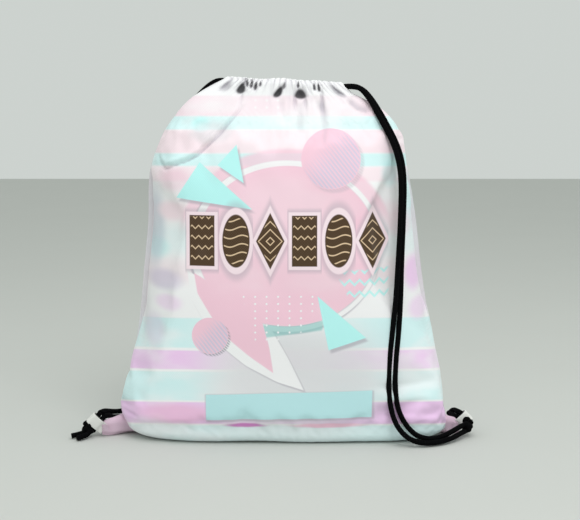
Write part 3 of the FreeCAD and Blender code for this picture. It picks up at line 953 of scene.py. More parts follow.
@dataclass
class BagBody:
    """The cloth of the body: two panels sewn at the sides and under the foot."""

    form: BagForm
    across: int = 100
    rows: int = 68
    mouth_rows: int = 28
    base_rows: int = 8
    cloth: float = 1.0
    frames: int = 18
    pressure: float = 2.2
    slack: float = -0.045
    most_moved: float = 6.0
    mouth_holds_from: float = 280.0
    mouth_holds_over: float = 22.0
    foot_holds_below: float = 24.0
    flat_width: float = 0.355
    flat_length: float = 0.43
    creases: dict[Face, tuple[Crease, ...]] = field(default_factory=dict)
    pleats: dict[Face, tuple[Pleat, ...]] = field(default_factory=dict)
    ruffles: dict[Face, Ruffles] = field(default_factory=dict)

    def grid(self, side: Face) -> np.ndarray:
        """Return one panel's points as rows by columns, from the base seam up to the mouth."""
        rows = []
        for i in range(self.base_rows):
            share = 0.02 + 0.98 * i / self.base_rows
            rows.append(self.form.row(0.0, side, self.across, share))
        heights = np.linspace(0, 1, self.rows)
        heights = 290.0 * (heights - 0.06 * np.sin(math.tau * heights))
        top = self.form.heights[-1]
        heights = [*heights[:-1], *np.linspace(290.0, top, self.mouth_rows)]
        for z in heights:
            rows.append(self.form.row(float(z), side, self.across))
        for z, left, right, depth in self.form.inner_rows:
            rows.append(self.form.section(z, left, right, depth, self.form.mouth_roundness, side, self.across))
        return np.array(rows)

    def build(self, side: Face, grid: np.ndarray) -> bpy.types.Object:
        """Make one panel's mesh."""
        rows, columns = grid.shape[:2]
        faces = []
        for i in range(rows - 1):
            for j in range(columns - 1):
                a = i * columns + j
                quad = [a, a + 1, a + columns + 1, a + columns]
                faces.append(quad if side is Face.FRONT else quad[::-1])
        return mesh_object(f"{side.name.lower()}_panel_cloth", grid.reshape(-1, 3), faces)

    def blow(self, grids: dict[Face, np.ndarray]) -> dict[Face, np.ndarray]:
        """Fill the sewn body with air and let the slack cloth settle.

        Args:
            grids: Each panel's points before filling.

        Returns:
            Each panel's points after it.
        """
        rows, columns = grids[Face.FRONT].shape[:2]
        size = rows * columns
        points = np.concatenate([grids[side].reshape(-1, 3) for side in Face])
        back = np.arange(size) + size
        index = np.arange(size).reshape(rows, columns)
        for edge in (index[:, 0], index[:, -1], index[0]):
            back[edge] = edge
        ids = {Face.FRONT: index, Face.BACK: back.reshape(rows, columns)}
        faces = []
        for side in Face:
            net = ids[side]
            for i in range(rows - 1):
                for j in range(columns - 1):
                    quad = [net[i, j], net[i, j + 1], net[i + 1, j + 1], net[i + 1, j]]
                    quad = list(dict.fromkeys(int(q) for q in quad))
                    if len(quad) > 2:
                        faces.append(quad if side is Face.FRONT else quad[::-1])
        bag = mesh_object("filling", points, faces)
        hold = bag.vertex_groups.new(name="hold")
        for side in Face:
            for i in range(rows):
                z = grids[side][i, :, 2].mean()
                held = max((z - self.mouth_holds_from) / self.mouth_holds_over, 1.0 - z / self.foot_holds_below)
                weight = 1.0 if i < self.base_rows + 1 else float(np.clip(held, 0, 1))
                if weight:
                    hold.add([int(k) for k in ids[side][i]], weight, "REPLACE")
        cloth = bag.modifiers.new("settle", "CLOTH")
        cloth.settings.quality = 6
        cloth.settings.mass = 0.15
        cloth.settings.tension_stiffness = 18
        cloth.settings.compression_stiffness = 12
        cloth.settings.shear_stiffness = 4
        cloth.settings.bending_stiffness = 0.35
        cloth.settings.use_pressure = True
        cloth.settings.uniform_pressure_force = self.pressure
        cloth.settings.shrink_min = self.slack
        cloth.settings.vertex_group_mass = "hold"
        cloth.settings.effector_weights.gravity = 0.0
        cloth.collision_settings.use_self_collision = False
        scene = bpy.context.scene
        for frame in range(1, self.frames + 1):
            scene.frame_set(frame)
        settled = points_of(baked(bag))
        bpy.data.objects.remove(bag)
        move = settled - points
        size_moved = np.linalg.norm(move, axis=1, keepdims=True)
        move *= np.minimum(1.0, self.most_moved / np.maximum(size_moved, 1e-6))
        LOG.info("cloth moved up to %.1f mm, typically %.2f mm", size_moved.max(), float(np.median(size_moved)))
        settled = points + move
        return {side: settled[ids[side]] for side in Face}

    def make(self, finishes: dict[Face, bpy.types.Material]) -> list[bpy.types.Object]:
        """Build, fill, crease and finish both panels.

        Args:
            finishes: The cloth of each panel.

        Returns:
            The two pieces.
        """
        grids = {side: self.grid(side) for side in Face}
        for grid in grids.values():
            grid[:, 0, 1] = grid[:, -1, 1] = 0.0
        grids = self.blow(grids)
        pieces = []
        for side in Face:
            panel = self.build(side, grids[side])
            finer = panel.modifiers.new("finer", "SUBSURF")
            finer.levels = finer.render_levels = 1
            finer.boundary_smooth = "PRESERVE_CORNERS"
            baked(panel)
            self.press_creases(panel, side)
            self.lay_weave(panel)
            wall = panel.modifiers.new("thickness", "SOLIDIFY")
            wall.thickness = self.cloth * MM
            wall.offset = -1.0
            baked(panel)
            dressed(panel, finishes[side])
            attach(panel, "bag")
            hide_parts(f"{side.name.lower()}_panel")
            LOG.info("%s: %d faces", panel.name, len(panel.data.polygons))
            pieces.append(panel)
        return pieces

    def press_creases(self, panel: bpy.types.Object, side: Face) -> None:
        """Press the fold lines of one panel into its fine mesh and store its painted shade: grey in the drawn folds,
        crease grooves and ruffle dips, near-black in the deepest pits.
        """
        points = points_of(panel)
        normals = normals_of(panel)
        x, y, z = points.T
        rim = np.clip(np.abs(y) / 8.0, 0, 1)
        shift = np.zeros(len(points))
        for crease in self.creases.get(side, ()):
            shift += crease.press(x, z)
        shift += 0.8 * np.sin(x * 0.052 + z * 0.031) * np.sin(z * 0.047 - x * 0.018 + 1.3)
        upper = np.clip((z - 205.0) / 60.0, 0, 1)
        shift += upper * 0.55 * np.sin(x * 0.16 + np.sin(z * 0.05) * 1.6) * np.sin(z * 0.07 + 0.6)
        wall = np.where(z > self.form.heights[-1] - 12.0, np.clip((np.abs(y) - 9.0) / 5.0, 0, 1), 1.0)
        level = self.form.heights[-1] + self.form.lean(x, self.form.heights[-1])
        drop = np.maximum(0.0, level - z)
        # drawn is how far the cloth is pulled in; painted_pit_shade is how dark the deepest pits are painted.
        drawn, painted_pit_shade = np.zeros(len(points)), np.zeros(len(points))
        for pleat in self.pleats[side]:
            depth = pleat.press(x, drop)
            drawn = np.maximum(drawn, depth)
            painted_pit_shade = np.maximum(painted_pit_shade, pleat.painted_pit_shade * np.clip(depth / pleat.depth * 3.4 - 1.0, 0, 1))
        ruffles = self.ruffles[side]
        width = np.interp(z, self.form.heights, np.array(self.form.right) - np.array(self.form.left))
        wave = ruffles.wave(x * 105.0 / np.maximum(width, 105.0))
        fade = np.exp(-((drop / ruffles.fades) ** 1.5))
        points += normals * (shift * rim * wall)[:, None]
        inward = (drawn - ruffles.out * (wave - 0.55) * fade) * np.clip(np.abs(y) / 7.0, 0, 1) * (0.35 + 0.65 * wall)
        points[:, 1] -= side.value * inward
        points[:, 2] += ruffles.up * (wave - 0.5) * np.exp(-drop / 3.0)
        points[:, 2] = np.maximum(points[:, 2], 0.0)
        set_points(panel, points)
        # Painted shade: darker in the drawn folds, the crease grooves and the dips between ruffles along the top edge.
        painted_dip_shade = np.exp(-((drop / 9.0) ** 2)) * (1 - wave) ** 1.5
        shade = np.clip(drawn / 5.0 + 1.3 * painted_dip_shade + np.clip(-shift - 0.7, 0, 2) * 0.35, 0, 1)
        layer = panel.data.uv_layers.new(name="folds")
        loops = corners_of(panel)
        layer.data.foreach_set("uv", np.column_stack([shade, painted_pit_shade])[loops].ravel())

    def lay_weave(self, panel: bpy.types.Object) -> None:
        """Lay a map in metres along the cloth, for the threads."""
        layer = panel.data.uv_layers.new(name="weave")
        points = points_of(panel) * MM
        loops = corners_of(panel)
        x, y, z = points[loops].T
        u = x + 0.6 * np.sign(x) * np.abs(y) * np.clip(np.abs(x) / 0.14, 0, 1) ** 3
        layer.data.foreach_set("uv", np.column_stack([u, z]).ravel())


# ---------------------------------------------------------------- hems, corners, webbing


@dataclass
class GatheredHem:
    """The turned-under sleeve behind one panel's top edge, which holds the cords."""

    form: BagForm
    side: Face
    open_ends: float = 15.0
    inset: float = 3.5
    half_thick: float = 3.0
    half_tall: float = 6.4
    cloth: float = 0.7
    along: int = 200
    around: int = 30

    def make(self, finish: bpy.types.Material) -> bpy.types.Object:
        """Build the sleeve with its small puckers.

        Args:
            finish: The cloth.

        Returns:
            The piece.
        """
        points, faces = [], []
        for i in range(self.along + 1):
            share = i / self.along
            angle = 180 - self.open_ends - (180 - 2 * self.open_ends) * share
            centre, outward = self.form.mouth(angle, self.side)
            centre = centre - outward * self.inset
            for k in range(self.around):
                turn = math.tau * k / self.around
                cosine, sine = math.cos(turn), math.sin(turn)
                out = math.copysign(abs(cosine) ** 0.7, cosine) * self.half_thick
                up = math.copysign(abs(sine) ** 0.75, sine) * self.half_tall
                pucker = math.sin(centre[0] * 0.9 + 0.6 * math.sin(centre[0] * 0.31))
                out += 0.25 * pucker * (1 if cosine < 0 else 0.2)
                up -= max(0.0, -sine) * 0.5 * pucker
                points.append(centre + outward * out + np.array([0, 0, up]))
        for i in range(self.along):
            for k in range(self.around):
                a = i * self.around + k
                b = i * self.around + (k + 1) % self.around
                quad = [a, b, b + self.around, a + self.around]
                faces.append(quad if self.side is Face.FRONT else quad[::-1])
        hem = mesh_object(f"{self.side.name.lower()}_hem", points, faces)
        wall = hem.modifiers.new("thickness", "SOLIDIFY")
        wall.thickness = self.cloth * MM
        wall.offset = -1.0
        baked(hem)
        layer = hem.data.uv_layers.new(name="weave")
        loops = np.empty(len(hem.data.loops), dtype=int)
        hem.data.loops.foreach_get("vertex_index", loops)
        spots = points_of(hem)[loops] * MM
        layer.data.foreach_set("uv", spots[:, [0, 2]].ravel())
        dressed(hem, finish)
        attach(hem, "bag")
        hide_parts(f"{self.side.name.lower()}_tunnel")
        return hem


@dataclass
class CordRoute:
    """One cord's line, as the points that steer it, in millimetres."""

    name: str
    points: tuple[Point, ...]

    def trace(self, spacing: float) -> np.ndarray:
        """Read evenly spaced points from the route's smooth curve.

        Args:
            spacing: Distance between points.

        Returns:
            The points.
        """
        curve = bpy.data.curves.new(self.name + "_route", "CURVE")
        curve.dimensions = "3D"
        curve.resolution_u = 16
        spline = curve.splines.new("NURBS")
        spline.points.add(len(self.points) - 1)
        for knot, place in zip(spline.points, self.points):
            knot.co = (*(c * MM for c in place), 1.0)
        spline.order_u = 3
        spline.use_endpoint_u = True
        holder = bpy.data.objects.new(self.name + "_route", curve)
        bpy.context.scene.collection.objects.link(holder)
        seen = holder.evaluated_get(bpy.context.evaluated_depsgraph_get())
        mesh = bpy.data.meshes.new_from_object(seen)
        line = np.array([v.co[:] for v in mesh.vertices]) / MM
        bpy.data.objects.remove(holder)
        bpy.data.meshes.remove(mesh)
        run = np.concatenate([[0], np.cumsum(np.linalg.norm(np.diff(line, axis=0), axis=1))])
        even = np.linspace(0, run[-1], max(3, int(run[-1] / spacing) + 1))
        return np.column_stack([np.interp(even, run, line[:, k]) for k in range(3)])


@dataclass(frozen=True)
class Braid:
    """The round braid every cord is made of, in millimetres."""

    radius: float = 2.5
    pitch: float = 5.2
    relief: float = 0.2
    around: int = 24
    spacing: float = 0.6

    def skin(self, name: str, line: np.ndarray, finish: bpy.types.Material) -> bpy.types.Object:
        """Lay the braid round a line.

        Args:
            name: The piece's name.
            line: Evenly spaced points along it.
            finish: The cord material.

        Returns:
            A closed tube with a map along it.
        """
        tangents = np.gradient(line, axis=0)
        tangents /= np.linalg.norm(tangents, axis=1, keepdims=True)
        normal = np.cross(tangents[0], [0.3, 0.9, 0.2])
        normal /= np.linalg.norm(normal)
        run = 0.0
        points, faces, along = [], [], []
        for i, centre in enumerate(line):
            if i:
                run += float(np.linalg.norm(centre - line[i - 1]))
                normal = normal - tangents[i] * float(np.dot(normal, tangents[i]))
                normal /= np.linalg.norm(normal)
            other = np.cross(tangents[i], normal)
            turn = np.arange(self.around) * math.tau / self.around
            phase = run / self.pitch * math.tau
            plait = np.sin(4 * turn + phase) * np.sin(4 * turn - phase)
            reach = self.radius - self.relief + self.relief * (0.5 + 0.5 * plait)
            ring = centre + np.outer(np.cos(turn) * reach, normal) + np.outer(np.sin(turn) * reach, other)
            points.extend(ring)
            along.append(run / self.pitch)
        count = len(line)
        for i in range(count - 1):
            for k in range(self.around):
                a = i * self.around + k
                b = i * self.around + (k + 1) % self.around
                faces.append([a, b, b + self.around, a + self.around])
        points.extend([line[0], line[-1]])
        first, last = len(points) - 2, len(points) - 1
        for k in range(self.around):
            n = (k + 1) % self.around
            base = (count - 1) * self.around
            faces.append([first, n, k])
            faces.append([last, base + k, base + n])
        piece = mesh_object(name, points, faces)
        layer = piece.data.uv_layers.new(name="braid")
        for polygon in piece.data.polygons:
            for loop, vertex in zip(polygon.loop_indices, polygon.vertices):
                ring, k = divmod(vertex, self.around)
                ring = min(ring, count - 1)
                layer.data[loop].uv = (k / self.around, along[ring])
            uvs = [layer.data[loop].uv for loop in polygon.loop_indices]
            if max(uv[0] for uv in uvs) - min(uv[0] for uv in uvs) > 0.5:
                for uv in uvs:
                    uv[0] += 1.0 if uv[0] < 0.5 else 0.0
        return dressed(piece, finish)


@dataclass
class CarryingCord:
    """The free strands of one carrying cord, on the body that swings."""

    body: str
    strands: tuple[CordRoute, ...]
    braid: Braid

    def make(self, finish: bpy.types.Material) -> list[bpy.types.Object]:
        """Build each free strand and put it on its body.

        Args:
            finish: The cord material.

        Returns:
            The strands.
        """
        made = []
        for route in self.strands:
            line = route.trace(self.braid.spacing)
            strand = self.braid.skin(route.name + "_cord", line, finish)
            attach(strand, self.body)
            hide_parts(route.name)
            made.append(strand)
        return made


@dataclass
class HeldCord:
    """The part of a cord inside the hems, out at one end and round the other."""

    name: str
    form: BagForm
    front: CordRoute
    rear: CordRoute
    far_x: float
    lift: float
    braid: Braid
    inset: float = 3.5

    def inside(self, degrees: float, side: Face) -> np.ndarray:
        """Return a point of the cord within a hem."""
        centre, outward = self.form.mouth(degrees, side)
        return centre - outward * self.inset + np.array([0, 0, self.lift])

    def make(self, finish: bpy.types.Material) -> bpy.types.Object:
        """Build the held run between its two free strands.

        Args:
            finish: The cord material.

        Returns:
            The piece.
        """
        stations = [22, 32, 44, 58, 74, 90, 106, 122, 136, 148, 158]
        if self.front.points[0][0] < 0:
            stations = [180 - s for s in stations]
        ahead = [self.inside(s, Face.FRONT) for s in stations]
        behind = [self.inside(s, Face.BACK) for s in reversed(stations)]
        level = self.form.mouth_height + self.lift + self.form.tilt * self.far_x
        turn = [np.array([self.far_x, y, level]) for y in (-3.4, 3.4)]
        start, second = (np.array(p) for p in self.front.points[:2])
        end, before = (np.array(p) for p in self.rear.points[:2])
        inner = [start + (start - second) * 0.3, start + (start - second) * 0.55]
        outer = [end + (end - before) * 0.55, end + (end - before) * 0.3]
        points = [start + (second - start) * 0.1, *inner, *ahead, *turn, *behind, *outer, end + (before - end) * 0.1]
        route = CordRoute(self.name, tuple(tuple(float(c) for c in p) for p in points))
        piece = self.braid.skin(self.name + "_braid", route.trace(self.braid.spacing), finish)
        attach(piece, "bag")
        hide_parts(self.name)
        return piece


@dataclass
class CornerLoop:
    """A bottom corner: drawn-out cloth, webbing loop and the cord's knot; its bar tack comes from the model."""

    side: Side
    root: Point
    tip: tuple[float, float]
    knot: Point
    tails: tuple[tuple[Point, ...], ...]
    braid: Braid
    length: float = 14.6
    gap: float = 6.2
    webbing: float = 1.3
    width: float = 10.5
    cords: tuple[float, float] = (4.7, 9.8)
    lead: float = 9.0
    roll: float = 0.0

    def label(self, part: str) -> str:
        """Return the name of one of this corner's pieces."""
        return f"{self.side.name.lower()}_{part}"

    def at(self, out: float, along: float, across: float = 0.0) -> np.ndarray:
        """Return a point in the loop's own frame."""
        sign = self.side.value
        away, hole = np.array([sign * 0.727, 0, 0.687]), np.array([sign * 0.687, 0, -0.727])
        return np.array(self.root) + away * out + hole * along + np.array([0, across, 0])

    def strap(self, finish: bpy.types.Material) -> bpy.types.Object:
        """Build the folded webbing with its woven ribs standing out."""
        half, tip = self.gap / 2, self.length - self.webbing
        outline = [(-3.4, 0.5), (-1.0, 0.6), (1.6, 1.1), (3.6, half * 0.9), (6.5, half)]
        outline += [(tip - half * 0.8, half * 0.98), (tip - 0.9, half * 0.72), (tip - 0.2, half * 0.3)]
        outline += [(out, -high) for out, high in reversed(outline)]
        route = np.array(outline)
        run = np.concatenate([[0], np.cumsum(np.hypot(*np.diff(route, axis=0).T))])
        even = np.linspace(0, run[-1], 72)
        out = monotone(run, route[:, 0], even)
        high = monotone(run, route[:, 1], even)
        slope = np.column_stack([np.gradient(out), np.gradient(high)])
        slope /= np.linalg.norm(slope, axis=1, keepdims=True)
        outward = np.column_stack([-slope[:, 1], slope[:, 0]])
        columns = 43
        points, faces = [], []
        for layer in (1.0, 0.0):
            for i in range(len(even)):
                for k in range(columns):
                    share = k / (columns - 1)
                    rib = 0.16 * math.cos(share * math.tau * 9) if layer else 0.0
                    edge = 0.25 * (1 - min(1.0, 8 * min(share, 1 - share)))
                    shift = layer * (self.webbing - edge) + rib + (0.0 if layer else edge)
                    a, b = out[i] + outward[i, 0] * shift, high[i] + outward[i, 1] * shift
                    points.append(self.at(a, (share - 0.5) * self.width, b))
        sheet_size = len(even) * columns
        for i in range(len(even) - 1):
            for k in range(columns - 1):
                a = i * columns + k
                faces.append([a, a + 1, a + columns + 1, a + columns])
                a += sheet_size
                faces.append([a, a + columns, a + columns + 1, a + 1])
        rim = [i * columns for i in range(len(even))]
        far = [i * columns + columns - 1 for i in range(len(even))]
        for a, b in zip(rim[:-1], rim[1:]):
            faces.append([a, b, b + sheet_size, a + sheet_size])
        for a, b in zip(far[:-1], far[1:]):
            faces.append([b, a, a + sheet_size, b + sheet_size])
        for row in (0, len(even) - 1):
            for k in range(columns - 1):
                a = row * columns + k
                quad = [a, a + 1, a + 1 + sheet_size, a + sheet_size]
                faces.append(quad[::-1] if row == 0 else quad)
        piece = mesh_object(self.label("webbing"), points, faces)
        return self.settle(piece, finish, "loop", "webbing")

    def settle(self, piece: bpy.types.Object, finish: bpy.types.Material, node: str, slot: str) -> bpy.types.Object:
        """Turn a piece's faces outward, dress it and put it on the bag."""
        net = bmesh.new()
        net.from_mesh(piece.data)
        bmesh.ops.remove_doubles(net, verts=net.verts, dist=1e-6)
        bmesh.ops.recalc_face_normals(net, faces=net.faces)
        net.to_mesh(piece.data)
        net.free()
        dressed(piece, finish)
        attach(piece, "bag")
        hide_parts(self.label(node))
        return piece

    def ear(self, finish: bpy.types.Material) -> bpy.types.Object:
        """Build the corner cloth, pinched flat and folded toward the loop."""
        sign = self.side.value
        tip_x, tip_y = self.tip
        stations = np.linspace(0, 1, 34)
        xs = monotone([0, 0.3, 0.62, 1], [130, 145, tip_x - 9, tip_x + 0.8], stations)
        ys = monotone([0, 0.3, 0.62, 1], [-6, -10, -9 * 0.3 + tip_y * 0.7, tip_y], stations)
        zs = monotone([0, 0.3, 1], [12, 9.6, 8.2], stations)
        deep = monotone([0, 0.3, 0.62, 1], [18, 12, 6.2, 2.6], stations)
        tall = monotone([0, 0.3, 0.62, 1], [11, 9.8, 8.6, 6.4], stations)
        points, faces, around = [], [], 40
        for x, y, z, d, t, s in zip(xs, ys, zs, deep, tall, stations):
            for k in range(around):
                turn = math.tau * k / around
                fold = 1 + 0.16 * math.sin(3 * turn + 1.2) * (0.3 + s) - 0.3 * math.exp(-(((turn - 4.2) / 0.3) ** 2))
                height = z + t * math.sin(turn) * (1 + 0.08 * math.sin(5 * turn + 6 * s))
                points.append([sign * x, y + d * math.cos(turn) * fold, max(0.6, height)])
        for i in range(len(stations) - 1):
            for k in range(around):
                a, b = i * around + k, i * around + (k + 1) % around
                faces.append([a, b, b + around, a + around])
        faces.append(list(range(around)))
        faces.append(list(range((len(stations) - 1) * around, len(stations) * around)))
        piece = mesh_object(self.label("ear"), points, faces)
        layer = piece.data.uv_layers.new(name="weave")
        loops = corners_of(piece)
        layer.data.foreach_set("uv", (points_of(piece)[loops][:, [0, 2]] * MM).ravel())
        return self.settle(piece, finish, "corner", "printed_cloth")

    def tie(self, finish: bpy.types.Material) -> bpy.types.Object:
        """Build the knot: both cord ends through the loop, tied and cut."""
        sign = self.side.value
        centre = np.array(self.knot)
        parts = []
        for index, out in enumerate(self.cords):
            entry, leaving = self.at(out, -self.lead), self.at(out, 5.0)
            turns = []
            for step in range(9):
                t = math.tau * (0.1 + 0.8 * step / 8)
                x = (math.sin(t) + 2 * math.sin(2 * t)) * 2.0
                y = (math.cos(t) - 2 * math.cos(2 * t)) * 1.7
                z = -math.sin(3 * t) * 2.1
                swing = 0.9 * index + self.roll
                turns.append(
                    centre
                    + np.array(
                        [
                            sign * (x * math.cos(swing) - z * math.sin(swing)),
                            y + (0.8 if index else -0.8),
                            x * math.sin(swing) + z * math.cos(swing) + (0.9 if index else -0.6),
                        ]
                    )
                )
            end = [np.array(p) for p in self.tails[index]]
            if sign > 0:
                ahead = [*reversed(end), entry, leaving, *turns]
            else:
                ahead = [entry, leaving, *turns, *end]
            route = CordRoute(self.label(f"knot{index}"), tuple(tuple(float(c) for c in p) for p in ahead))
            parts.append(self.braid.skin(route.name, route.trace(self.braid.spacing), finish))
        merged = joined(parts, self.label("tied_knot"))
        points = points_of(merged)
        points[:, 2] = np.maximum(points[:, 2], 0.15)
        set_points(merged, points)
        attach(merged, "bag")
        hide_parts(self.label("knot"))
        return merged


def joined(parts: Sequence[bpy.types.Object], name: str) -> bpy.types.Object:
    """Join meshes into one piece.

    Args:
        parts: The meshes, which are used up.
        name: The new piece's name.

    Returns:
        The piece.
    """
    net = bmesh.new()
    for part in parts:
        net.from_mesh(part.data)
    mesh = bpy.data.meshes.new(name)
    net.to_mesh(mesh)
    net.free()
    for material in parts[0].data.materials:
        mesh.materials.append(material)
    for part in parts:
        bpy.data.objects.remove(part)
    made = bpy.data.objects.new(name, mesh)
    bpy.context.scene.collection.objects.link(made)
    return made


# ---------------------------------------------------------------- stitching


@dataclass
class Stitcher:
    """Sets a row of thread stitches along a line, by geometry nodes."""

    thread: float = 0.32
    stitch: float = 2.1
    pitch: float = 2.9

    def tree(self, finish: bpy.types.Material) -> bpy.types.NodeTree:
        """Build the node tree that sets the stitches.

        Args:
            finish: The thread.

        Returns:
            The tree.
        """
        tree = bpy.data.node_groups.new("stitch_row", "GeometryNodeTree")
        face = tree.interface
        face.new_socket("Geometry", in_out="INPUT", socket_type="NodeSocketGeometry")
        for name, value in (("Pitch", self.pitch), ("Stitch", self.stitch), ("Thread", self.thread)):
            socket = face.new_socket(name, in_out="INPUT", socket_type="NodeSocketFloat")
            socket.default_value = value * MM
        face.new_socket("Geometry", in_out="OUTPUT", socket_type="NodeSocketGeometry")
        add, link = tree.nodes.new, tree.links.new
        source, result = add("NodeGroupInput"), add("NodeGroupOutput")
        line, row = add("GeometryNodeMeshToCurve"), add("GeometryNodeCurveToPoints")
        row.mode = "LENGTH"
        bead, shape = add("GeometryNodeMeshUVSphere"), add("GeometryNodeTransform")
        bead.inputs["Segments"].default_value = 8
        bead.inputs["Rings"].default_value = 6
        bead.inputs["Radius"].default_value = 1.0
        size, half = add("ShaderNodeCombineXYZ"), add("ShaderNodeMath")
        half.operation = "MULTIPLY"
        half.inputs[1].default_value = 0.66
        link(source.outputs["Stitch"], half.inputs[0])
        link(source.outputs["Thread"], size.inputs[0])
        link(source.outputs["Thread"], size.inputs[1])
        link(half.outputs[0], size.inputs[2])
        link(bead.outputs["Mesh"], shape.inputs["Geometry"])
        link(size.outputs[0], shape.inputs["Scale"])
        put, real = add("GeometryNodeInstanceOnPoints"), add("GeometryNodeRealizeInstances")
        coat = add("GeometryNodeSetMaterial")
        coat.inputs["Material"].default_value = finish
        link(source.outputs["Geometry"], line.inputs["Mesh"])
        link(line.outputs["Curve"], row.inputs["Curve"])
        link(source.outputs["Pitch"], row.inputs["Length"])
        link(row.outputs["Points"], put.inputs["Points"])
        link(row.outputs["Rotation"], put.inputs["Rotation"])
        link(shape.outputs["Geometry"], put.inputs["Instance"])
        link(put.outputs["Instances"], real.inputs["Geometry"])
        link(real.outputs["Geometry"], coat.inputs["Geometry"])
        link(coat.outputs["Geometry"], result.inputs["Geometry"])
        return tree

    def sew(self, name: str, lines: Sequence[np.ndarray], node: str, finish: bpy.types.Material) -> bpy.types.Object:
        """Sew rows of stitches.

        Args:
            name: The piece's name.
            lines: Each row's points in millimetres.
            node: The part it stands for.
            finish: The thread.

        Returns:
            The piece.
        """
        mesh = bpy.data.meshes.new(name)
        points, edges = [], []
        for line in lines:
            base = len(points)
            points.extend((np.asarray(line) * MM).tolist())
            edges.extend((base + i, base + i + 1) for i in range(len(line) - 1))
        mesh.from_pydata(points, edges, [])
        piece = bpy.data.objects.new(name, mesh)
        bpy.context.scene.collection.objects.link(piece)
        tree = self.tree(finish)
        row = piece.modifiers.new("stitches", "NODES")
        row.node_group = tree
        sizes = {"Pitch": self.pitch, "Stitch": self.stitch, "Thread": self.thread}
        for item in tree.interface.items_tree:
            if item.in_out == "INPUT" and item.name in sizes:
                row[item.identifier] = sizes[item.name] * MM
        baked(piece)
        piece.data.polygons.foreach_set("use_smooth", [True] * len(piece.data.polygons))
        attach(piece, "bag")
        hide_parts(node)
        return piece


# ---------------------------------------------------------------- studio


@dataclass
class Studio:
    """Plain pale floor, soft lights and the camera."""

    distance: float = 1.25
    height: float = 0.3366
    aside: float = 0.0055
    tilt_down: float = 7.96
    lens: float = 84.0

    def camera(self) -> None:
        """Set up the camera."""
        data = bpy.data.cameras.new("camera")
        data.lens = self.lens
        data.sensor_width = 36.0
        data.clip_start, data.clip_end = 0.05, 30.0
        holder = bpy.data.objects.new("camera", data)
        holder.location = (self.aside, -self.distance, self.height)
        holder.rotation_euler = (math.radians(90 - self.tilt_down), 0, 0)
        bpy.context.scene.collection.objects.link(holder)
        bpy.context.scene.camera = holder

    def floor(self) -> None:
        """Lay the floor, which isn't part of the bag."""
        graph = Graph("floor")
        grain = graph.noise(6.0, 3.0)
        colour = graph.mix(grain * 0.25, dye(206, 208, 204), dye(196, 197, 194))
        finish = graph.surface(colour, 0.75, None, 0.0, Specular_IOR_Level=0.2)
        size = 3000.0
        spots = [(-size, -size, 0), (size, -size, 0), (size, size, 0), (-size, size, 0)]
        plane = mesh_object("floor", spots, [(0, 1, 2, 3)], smooth=False)
        dressed(plane, finish)

    def lights(self) -> None:
        """Hang the soft lights and the pale surround."""
        world = bpy.data.worlds.new("surround")
        world.use_nodes = True
        world.node_tree.nodes["Background"].inputs[0].default_value = dye(226, 232, 228)
        world.node_tree.nodes["Background"].inputs[1].default_value = 0.8
        bpy.context.scene.world = world
        lamps = [
            ("key", (0.55, -1.25, 1.6), 1.0, 12.5),
            ("fill", (-0.9, -1.5, 0.9), 1.4, 1.6),
            ("top", (0.1, -0.25, 1.6), 1.0, 4.6),
        ]
        for name, place, size, power in lamps:
            lamp = bpy.data.lights.new(name, "AREA")
            lamp.size = size
            lamp.energy = power
            holder = bpy.data.objects.new(name, lamp)
            holder.location = place
            holder.rotation_euler = (Vector((0, 0, 0.16)) - Vector(place)).to_track_quat("-Z", "Y").to_euler()
            bpy.context.scene.collection.objects.link(holder)
        bpy.context.scene.view_settings.view_transform = "Standard"


# ---------------------------------------------------------------- the bag's own sizes

RIGHT_FRONT = CordRoute(
    "right_front_strand",
    (
        (56.0, -3.4, 322.4), (62.5, -4.2, 323.0), (69.6, -7.4, 321.2), (76.0, -12.0, 314.0),
        (82.6, -18.8, 302.6), (90.0, -24.6, 288.6), (97.6, -29.8, 274.0), (102.8, -34.6, 258.6),
        (105.4, -39.5, 238.8), (104.4, -46.0, 204.0), (102.4, -51.0, 168.6), (100.4, -54.0, 133.0),
        (97.6, -56.0, 105.8), (95.0, -57.2, 79.6), (94.2, -58.2, 57.0), (95.6, -60.2, 38.0),
        (100.2, -62.6, 21.8), (108.6, -64.2, 10.8), (118.8, -64.6, 5.0), (130.2, -63.4, 3.4),
        (142.4, -58.0, 3.4), (153.4, -49.4, 4.6), (161.4, -39.6, 5.8), (166.8, -32.6, 6.4),
        (170.6, -27.6, 6.6),
    ),
)
RIGHT_REAR = CordRoute(
    "right_rear_strand",
    (
        (56.0, 3.0, 322.2), (63.4, 2.4, 322.4), (71.6, -1.2, 320.4), (78.8, -6.4, 312.8),
        (86.0, -13.4, 301.6), (94.0, -19.6, 287.2), (101.4, -24.4, 272.8), (106.4, -29.2, 257.8),
        (108.6, -33.8, 238.2), (107.4, -40.4, 202.8), (105.8, -45.6, 167.6), (105.0, -49.8, 132.4),
        (103.4, -53.8, 105.4), (100.8, -56.4, 79.4), (100.0, -57.6, 57.2), (102.0, -58.4, 36.6),
        (107.6, -58.6, 23.4), (114.8, -58.6, 13.6), (123.2, -57.6, 7.6), (133.4, -54.6, 5.0),
        (143.8, -49.0, 5.6), (153.2, -41.0, 7.8), (160.8, -34.6, 10.4), (166.0, -30.2, 11.8),
        (170.4, -27.2, 12.2),
    ),
)
